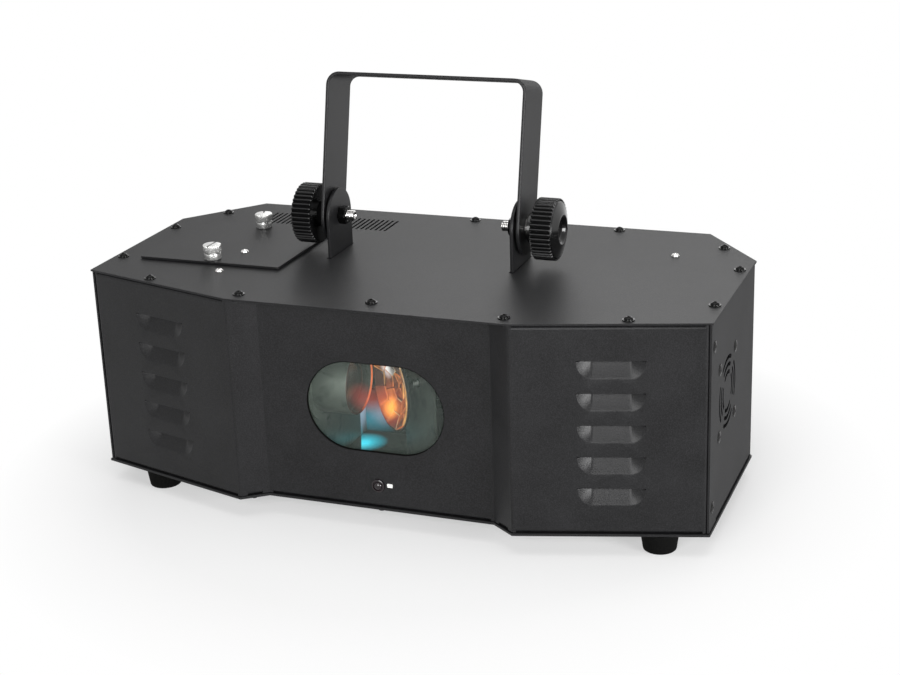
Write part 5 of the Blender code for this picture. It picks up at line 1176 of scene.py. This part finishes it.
def knob(name, side):
    front = KNOB_BOSS + KNOB_LENGTH
    cone = front - KNOB_CONE
    start = inner_x("knob_" + name, side)
    bore_end = KNOB_BOSS + 0.0078
    boss = softened([(STUD_BORE_R, 0.0), (KNOB_BOSS_R, 0.0), (KNOB_BOSS_R - 0.0008, KNOB_BOSS)], 0.0005)
    profile = [(0.0, bore_end), (STUD_BORE_R, bore_end), (STUD_BORE_R, 0.0), *boss[1:-1]]
    profile += softened([
        (KNOB_BOSS_R - 0.0012, KNOB_BOSS), (KNOB_R, KNOB_BOSS), (KNOB_R, cone - 0.0006),
        (KNOB_FACE_R + 0.0006, cone), (KNOB_FACE_R, cone - 0.0005), (KNOB_FACE_R - 0.0005, cone - 0.0004),
        (KNOB_FACE_R - 0.0007, cone + 0.0003), (KNOB_RECESS_R + 0.0014, front),
        (KNOB_RECESS_R - 0.0002, front - 0.0006), (KNOB_RECESS_FLOOR_R, front - KNOB_RECESS),
        (0.0, front - KNOB_RECESS),
    ], 0.0008, 4)
    turned_piece("knob_grip_" + name, profile, KNOB_RIBS * 12, KNOB, pivot_frame(side, start), knob_wave,
                 body="knob_" + name, node="knob_" + name, smooth=40)
    stud(name, side, start)


def stud(name, side, start):
    """The threaded stud, with rings of thread and a cupped tip."""
    tip = inner_x("stud_" + name, side) - start
    end = KNOB_BOSS + 0.0075
    profile = [(0.0, tip + 0.0012), (0.0013, tip + 0.0007), (0.0019, tip), (0.0025, tip)]
    profile.append((0.0029, tip + 0.0003))
    z = tip + 0.0004
    while z < end - 0.010:
        steps = ((THREAD_ROOT_R, 0.0), (STUD_R, 0.3), (STUD_R, 0.6), (THREAD_ROOT_R, 0.9))
        profile += [(radius, z + share * THREAD_PITCH) for radius, share in steps]
        z += THREAD_PITCH
    profile += [(STUD_R, z), (STUD_R, end), (0.0, end)]
    turned_piece("stud_thread_" + name, profile, 32, STEEL, pivot_frame(side, start),
                 body="knob_" + name, node="stud_" + name, smooth=25)


def washer(node, side, skin, radius):
    thick = extent(node).x
    profile = [(STUD_BORE_R, 0.0), (radius, 0.0), (radius, thick), (STUD_BORE_R, thick)]
    place = pivot_frame(side, inner_x(node, side))
    turned_piece(node + "_ring", softened(profile, 0.0002, 2), 48, skin, place, node=node)


def lock_nut(name, side):
    """A hexagonal nut with rounded corners, a plain collar and its bore."""
    half, corner = NUT_FLATS / 2, NUT_FLATS / math.sqrt(3)
    place = pivot_frame(side, high("ear_bridge").x - EAR_SHEET, -1)
    limits = ((half * 1.02, 0.0), (corner, 0.0004), (corner, NUT_HEIGHT - 0.0006), (half * 1.02, NUT_HEIGHT))
    levels = []
    for limit, z in limits:
        outline = []
        for i in range(48):
            angle = 2 * math.pi * i / 48
            sector = (angle + math.pi / 6) % (math.pi / 3) - math.pi / 6
            radius = min(half / math.cos(abs(sector) - math.pi / 6), limit)
            outline.append((radius * math.cos(angle), radius * math.sin(angle)))
        levels.append((outline, z + GAP))
    bore = ((STUD_BORE_R + 0.0004, NUT_HEIGHT), (STUD_BORE_R, NUT_HEIGHT - 0.0004), (STUD_BORE_R, 0.0))
    levels += [(circle(radius, 48), z + GAP) for radius, z in bore]
    bm = bmesh.new()
    add_rings(bm, sections(place, [*levels, levels[0]]), capped=False)
    piece(f"lock_nut_{name}_hex", bm, BLACK_STEEL, node="lock_nut_" + name, smooth=25)


def pivots():
    for name, side in SIDES.items():
        knob(name, side)
        lock_nut(name, side)
        washer("friction_washer_" + name, side, PLASTIC, 0.009)
        washer("knob_washer_" + name, side, STEEL, 0.007)


# Hatch

def hatch():
    middle, size = centre("hatch_plate"), extent("hatch_plate")
    holes = [circle(THUMB_STUD_R + GAP, 20, *(spot - middle).xy) for spot in THUMBS.values()]
    holes.append(circle(SILVER_R + GAP, 12, *HATCH_SCREW_OFFSET))
    outline = rounded_box(size.x, size.y, HATCH_CORNER_R)
    place = Matrix.Translation((middle.x, middle.y, 0.0))
    plate_piece("hatch_cover", outline, holes, low("hatch_plate").z, high("hatch_plate").z, POWDER, place,
                body="hatch", node="hatch_plate")
    for name, spot in THUMBS.items():
        thumbscrew(name, spot)


def thumb_wave(radius, z, angle):
    if radius < THUMB_HEAD_R - 0.0002 or z < THUMB_SHOULDER + 0.0003:
        return radius
    return radius - THUMB_KNURL * (0.5 + 0.5 * math.cos(THUMB_RIBS * angle))


def thumbscrew(name, spot):
    top = THUMB_SHOULDER + THUMB_HEAD
    groove_r = THUMB_SHOULDER_R - THUMB_GROOVE
    root_r = THUMB_STUD_R - 0.0003
    profile = [(0.0, -THUMB_STUD_LENGTH), (THUMB_STUD_R - 0.0004, -THUMB_STUD_LENGTH)]
    z = -THUMB_STUD_LENGTH + 0.0004
    while z < -0.001:
        profile += [(root_r, z), (THUMB_STUD_R, z + 0.0003), (root_r, z + 0.0006)]
        z += THUMB_THREAD
    profile += softened([
        (THUMB_STUD_R, 0.0), (THUMB_SHOULDER_R, 0.0), (THUMB_SHOULDER_R, THUMB_SHOULDER - 0.0007),
        (groove_r, THUMB_SHOULDER - 0.0006), (groove_r, THUMB_SHOULDER), (THUMB_HEAD_R, THUMB_SHOULDER),
        (THUMB_HEAD_R, top - 0.0005), (THUMB_HEAD_R - 0.0006, top), (0.0, top),
    ], 0.00018, 2)
    place = Matrix.Translation(spot)
    obj = turned_piece(name + "_head", profile, THUMB_RIBS * 8, CHROME, place, thumb_wave,
                       body=name, node=name)
    slot = box_outline(2 * THUMB_HEAD_R * 1.2, THUMB_SLOT)
    turned = place @ Matrix.Rotation(THUMB_TURNS[name], 4, "Z")
    cut(obj, sections(turned, [(slot, top - THUMB_SLOT_DEPTH), (slot, top + 0.001)]))


# Optics behind the window

def kept_nodes():
    for skin, nodes in KEPT_NODES.items():
        for node in nodes:
            frame["nodes"][node].material_slots[0].material = skin.material


def lens():
    """The lens tube with a lit rim, and the lens with its crown."""
    start, end = low("lens_holder").x, high("lens_holder").x
    step, seat = start + TUBE_FLANGE, end - TUBE_SEAT
    place = axis_frame((0.0, DISH.y, DISH.z), (1, 0, 0))
    outer = softened([
        (TUBE_BORE_R, start), (TUBE_FLANGE_R, start), (TUBE_FLANGE_R, step), (TUBE_R, step), (TUBE_R, end),
        (TUBE_SEAT_R, end), (TUBE_SEAT_R, seat), (TUBE_BORE_R, seat),
    ], 0.0004)
    turned_piece("lens_tube", outer, 72, GALVANISED, place, node="lens_holder", slot="plastic")
    back, face = low("led_lens").x, high("led_lens").x
    profile = [(0.0, back), (LENS_R - 0.0002, back), (LENS_R, back + 0.0004), (LENS_R, face - 0.0052)]
    profile += [(LENS_R * s, face - LENS_CROWN * s * s) for s in [1 - k / 14 for k in range(1, 15)]]
    turned_piece("lens_body", profile, 72, LENS, place, node="led_lens", smooth=50)
    inner, outer = RIM_RADII
    ring = softened([(inner, end), (outer, end), (outer, end + 0.0006), (inner, end + 0.0006)], 0.0002)
    turned_piece("lens_rim", ring[:-1], 72, RIM_LIT, place, slot="lens")


def dish_depth(radius):
    return DISH_HOLLOW * (radius / DISH_R) ** 2


def dish():
    """The dish with its hub, and its flat mirror tiles with thin dark joints."""
    place = axis_frame(DISH, DISH_AXIS)
    radii = [DISH_R * k / 10 for k in range(10, 0, -1)]
    hub_top = -DISH_SHEET / 2
    profile = [(0.0, hub_top), (DISH_BORE_R, hub_top), (DISH_BORE_R, -DISH_HUB), (DISH_HUB_R, -DISH_HUB)]
    backs = [DISH_HUB_R, *[r for r in reversed(radii) if r > DISH_HUB_R + 0.0002]]
    profile += [(r, dish_depth(r) - DISH_SHEET) for r in backs]
    profile += [(r, dish_depth(r)) for r in radii] + [(0.0, 0.0)]
    turned_piece("dish_bowl", profile, 72, PLASTIC, place, body="dish", node="dish_plate")
    bm = bmesh.new()
    tilts = random.Random(11)
    for count, inner, outer in TILE_RINGS:
        near, far = inner + TILE_MARGIN, outer - TILE_MARGIN
        for i in range(count):
            corners = []
            for r, side in ((near, -1), (far, -1), (far, 1), (near, 1)):
                angle = 2 * math.pi * i / count + side * (math.pi / count - TILE_MARGIN / r)
                corners.append(Vector((r * math.cos(angle), r * math.sin(angle), dish_depth(r))))
            normal = (corners[1] - corners[0]).cross(corners[3] - corners[0]).normalized()
            normal = -normal if normal.z < 0 else normal
            middle = sum(corners, Vector()) / 4
            tilt = Vector((tilts.uniform(-1, 1), tilts.uniform(-1, 1), 0.0)) * TILE_TILT
            under = [place @ (c - normal * 0.0005) for c in corners]
            over = [place @ (c + normal * (0.0008 + tilt.dot(c - middle))) for c in corners]
            add_rings(bm, [under, over])
    obj = piece("dish_mirrors", bm, TILE_LIT, "dish", slot="mirror", smooth=10, weighted=False)
    obj.data.materials.append(EDGE_LIT.material)
    axis = place.to_3x3() @ Vector((0.0, 0.0, 1.0))
    for polygon in obj.data.polygons:
        polygon.material_index = 1 if abs(polygon.normal.dot(axis)) < 0.5 else 0


# Rear panel

def rear_fit(node):
    """A node's frame on the outside of the back wall, with Z outward and Y up, its size there, and how
    deep and how far out it reaches."""
    middle, size = centre(node), extent(node)
    place = axis_frame((middle.x, BACK_Y, middle.z), (0.0, 1.0, 0.0))
    return place, (size.x, size.z), low(node).y - BACK_Y, high(node).y - BACK_Y


def mains_inlet():
    """The inlet with its chamfered well, the pins in it, and the opening of the fuse drawer."""
    place, whole, back, face = rear_fit("iec_inlet")
    drawer_place, drawer_size, drawer_back, proud = rear_fit("fuse_drawer")
    w, h, bevel = WELL_SIZE[0] / 2, WELL_SIZE[1] / 2, WELL_BEVEL
    well = moved([(-w, -h), (w, -h), (w, h - bevel), (w - bevel, h), (bevel - w, h), (-w, h - bevel)],
                 0.0, -WELL_DROP)
    apart = centre("iec_inlet") - centre("fuse_drawer")
    drawer = rounded_box(*[side + 2 * GAP for side in drawer_size], 0.0008, 3, apart.x, -apart.z)
    inner = rounded_box(*INLET_BODY, 0.002, 4)
    floor_z = face - WELL_DEPTH
    behind = drawer_back - GAP
    bm = bmesh.new()
    add_plate(bm, rounded_box(*whole, 0.002), [well, drawer], GAP, face, 0.0004, place)
    add_plate(bm, inner, [well, drawer], behind, GAP, 0.0001, place)
    add_plate(bm, inner, [], back, behind, 0.0002, place)
    add_plate(bm, offset_outline(well, -GAP / 3), [], behind, floor_z, 0.0001, place)
    piece("inlet_body", bm, PLASTIC, node="iec_inlet", weld=False)
    bm = bmesh.new()
    for side, up in ((-1, 0.0), (0, PIN_EARTH_UP), (1, 0.0)):
        blade = rounded_box(*PIN_SIZE, 0.0004, 3, side * PIN_SPREAD, up - WELL_DROP)
        add_plate(bm, blade, [], floor_z, floor_z + PIN_LENGTH, 0.0003, place)
    piece("inlet_pins", bm, STEEL)
    bm = bmesh.new()
    outline = rounded_box(*drawer_size, 0.0006, 3)
    grip_z = proud - DRAWER_GRIP_DEPTH
    add_plate(bm, outline, [stadium(*DRAWER_GRIP, 8)], grip_z, proud, 0.0003, drawer_place)
    add_plate(bm, outline, [], drawer_back, grip_z, 0.0001, drawer_place)
    piece("drawer_face", bm, PLASTIC, "fuse_drawer", "fuse_drawer", weld=False)


def dmx_socket(node, male):
    """A round socket in its square flange: the input with pins, the output with a face of three holes."""
    place, size, back, face = rear_fit(node)
    cavity = circle(DMX_CAVITY_R, 48)
    if not male:
        half, top = DMX_LATCH_SLOT
        gap = math.asin(half / DMX_CAVITY_R)
        cavity = arc(DMX_CAVITY_R, math.pi / 2 + gap, 5 * math.pi / 2 - gap, 44) + [(half, top), (-half, top)]
    floor_z = face - DMX_CAVITY
    screws = [circle(SCREW_HOLE_R, 16, *spot) for spot in DMX_SCREWS]
    barrel = circle(DMX_BARREL_R, 48)
    bm = bmesh.new()
    add_plate(bm, rounded_box(*size, 0.003), [cavity, *screws], GAP, face, 0.0003, place)
    add_plate(bm, barrel, [cavity], floor_z, GAP, 0.0001, place)
    add_plate(bm, barrel, [], back, floor_z, 0.0003, place)
    pins = [(DMX_PIN_CIRCLE * math.cos(a), DMX_PIN_CIRCLE * math.sin(a)) for a in DMX_PIN_ANGLES]
    if male:
        pin_end = floor_z + DMX_PIN_LENGTH
        shaft = [(0.0, floor_z), (DMX_PIN_R, floor_z), (DMX_PIN_R, pin_end), (0.0, pin_end)]
        metal_pins = bmesh.new()
        for px, py in pins:
            spot = place @ Matrix.Translation((px, py, 0.0))
            add_turned(metal_pins, softened(shaft, 0.0006, 4), 20, spot)
        piece(node + "_pins", metal_pins, STEEL)
    else:
        holes = [circle(DMX_PIN_HOLE_R, 20, px, py) for px, py in pins]
        add_plate(bm, circle(DMX_CAVITY_R - GAP, 48), holes, floor_z, face - DMX_FACE_DEPTH, 0.0003, place)
    piece(node + "_shell", bm, PLASTIC, node=node, weld=False)


def latch():
    place, size, back, face = rear_fit("dmx_latch")
    plate_piece("latch_tab", rounded_box(*size, 0.0006, 4), [], back, face, STEEL, place, 0.0004,
                body="dmx_latch", node="dmx_latch")


def buttons():
    top = -SHEET - GAP
    for name in BUTTONS:
        place, _, back, face = rear_fit(name)
        profile = [(0.0, back), (BUTTON_STEM_R, back), (BUTTON_STEM_R, top - BUTTON_COLLAR)]
        profile += softened([
            (BUTTON_STEM_R, top - BUTTON_COLLAR), (BUTTON_COLLAR_R, top - BUTTON_COLLAR),
            (BUTTON_COLLAR_R, top), (BUTTON_R, top), (BUTTON_R, face - 0.0003),
            (BUTTON_R - 0.0009, face), (0.0, face - 0.0002),
        ], 0.0003)[1:]
        turned_piece(name + "_cap", profile, 40, PLASTIC, place, body=name, node=name)


def safety_eye():
    """A bent rod, whose two legs go through the back wall into their nuts."""
    middle, inside_y = centre("safety_eye"), low("safety_eye").y
    bend_y = high("safety_eye").y - EYE_ROD_R - EYE_BEND_R
    leg = [(EYE_BEND_R, inside_y), (EYE_BEND_R, BACK_Y)]
    path = leg + arc(EYE_BEND_R, 0.0, math.pi, 28, 0.0, bend_y) + [(-x, y) for x, y in reversed(leg)]
    rings = []
    for i, (px, py) in enumerate(path):
        before, after = path[max(0, i - 1)], path[min(len(path) - 1, i + 1)]
        way = Vector((after[0] - before[0], after[1] - before[1], 0.0)).normalized()
        spot = Vector((middle.x + px, py, middle.z))
        rings.append([spot + Vector((way.y * a, -way.x * a, b)) for a, b in circle(EYE_ROD_R, 24)])
    bm = bmesh.new()
    add_rings(bm, rings)
    piece("safety_loop", bm, STEEL, node="safety_eye")


def build():
    front_panel()
    rear_shell()
    top_plate()
    bottom_plate()
    feet()
    screws()
    window()
    ears()
    bracket()
    pivots()
    hatch()
    kept_nodes()
    lens()
    dish()
    mains_inlet()
    dmx_socket("dmx_in", male=True)
    dmx_socket("dmx_out", male=False)
    latch()
    buttons()
    safety_eye()


# Camera, lights and floor

CAMERA_AZIMUTH = math.radians(21.30)
CAMERA_ELEVATION = math.radians(19.69)
CAMERA_ROLL = math.radians(-2.10)
CAMERA_DISTANCE = 1.0698
CAMERA_LENS = 70.2
CAMERA_TARGET = Vector((0.0129, Y_FRONT + 0.100, 0.0884))
AMBIENT = 0.09
FLOOR_REACH = 40.0
FLOOR_Z = -0.0004
WHITE_NEAR = 0.19
WHITE_FAR = 0.28
WHITE_LEAST = 0.45


def camera():
    data = bpy.data.cameras.new("camera")
    data.lens = CAMERA_LENS
    data.sensor_width = 36.0
    data.clip_start = 0.01
    az, el = CAMERA_AZIMUTH, CAMERA_ELEVATION
    forward = Vector((-math.sin(az) * math.cos(el), math.cos(az) * math.cos(el), -math.sin(el)))
    right = Vector((math.cos(az), math.sin(az), 0.0))
    up = right.cross(forward)
    x = right * math.cos(CAMERA_ROLL) + up * math.sin(CAMERA_ROLL)
    y = -right * math.sin(CAMERA_ROLL) + up * math.cos(CAMERA_ROLL)
    matrix = Matrix((x, y, -forward)).transposed().to_4x4()
    matrix.translation = CAMERA_TARGET - forward * CAMERA_DISTANCE
    obj = new_object("camera", data)
    obj.matrix_world = matrix
    bpy.context.scene.camera = obj


def area_light(name, origin, target, width, height, power):
    data = bpy.data.lights.new(name, "AREA")
    data.shape = "RECTANGLE"
    data.size = width
    data.size_y = height
    data.energy = power
    new_object(name, data).matrix_world = axis_frame(origin, Vector(origin) - Vector(target))


def studio():
    world = bpy.data.worlds.new("world")
    bpy.context.scene.world = world
    tree = Tree(world)
    ambient = tree.nodes["Background"]
    ambient.inputs["Color"].default_value = WHITE
    ambient.inputs["Strength"].default_value = AMBIENT
    white = tree.add("Background", {"Color": WHITE, "Strength": 1.0})
    tree.whitened(ambient.outputs[0], white, 1.0, "World Output")
    area_light("overhead", (0.1, -0.1, 1.6), (0, 0, 0.1), 1.6, 1.2, 11.0)
    area_light("front_box", (0.10, -1.62, 0.56), (0, 0, 0.08), 0.9, 0.9, 22.0)
    area_light("right_box", (1.50, -0.70, 0.28), (0, 0, 0.08), 0.7, 0.6, 30.0)
    area_light("back_panel", (-0.30, 2.1, 0.72), (0, 0, 0.10), 1.6, 1.0, 9.0)
    bpy.context.scene.view_settings.view_transform = "Standard"


def floor():
    """White paper. Away from the object it is plain white to the camera, to metal and through glass."""
    skin = Skin("floor", (0.93, 0.93, 0.93), 0.9, specular=0.1)
    away = skin.ranged(skin.measured("LENGTH"), WHITE_NEAR, WHITE_FAR, WHITE_LEAST, 1.0)
    white = skin.add("Emission", {"Strength": 1.0})
    skin.whitened(skin.nodes["Principled BSDF"].outputs[0], white, away, "Material Output")
    bm = bmesh.new()
    add_face(bm, [(x, y, FLOOR_Z) for x, y in box_outline(2 * FLOOR_REACH, 2 * FLOOR_REACH)])
    obj = new_object("floor", new_mesh("floor", bm))
    obj.data.materials.append(skin.material)


camera()
build()
studio()
floor()
bpy.context.view_layer.update()
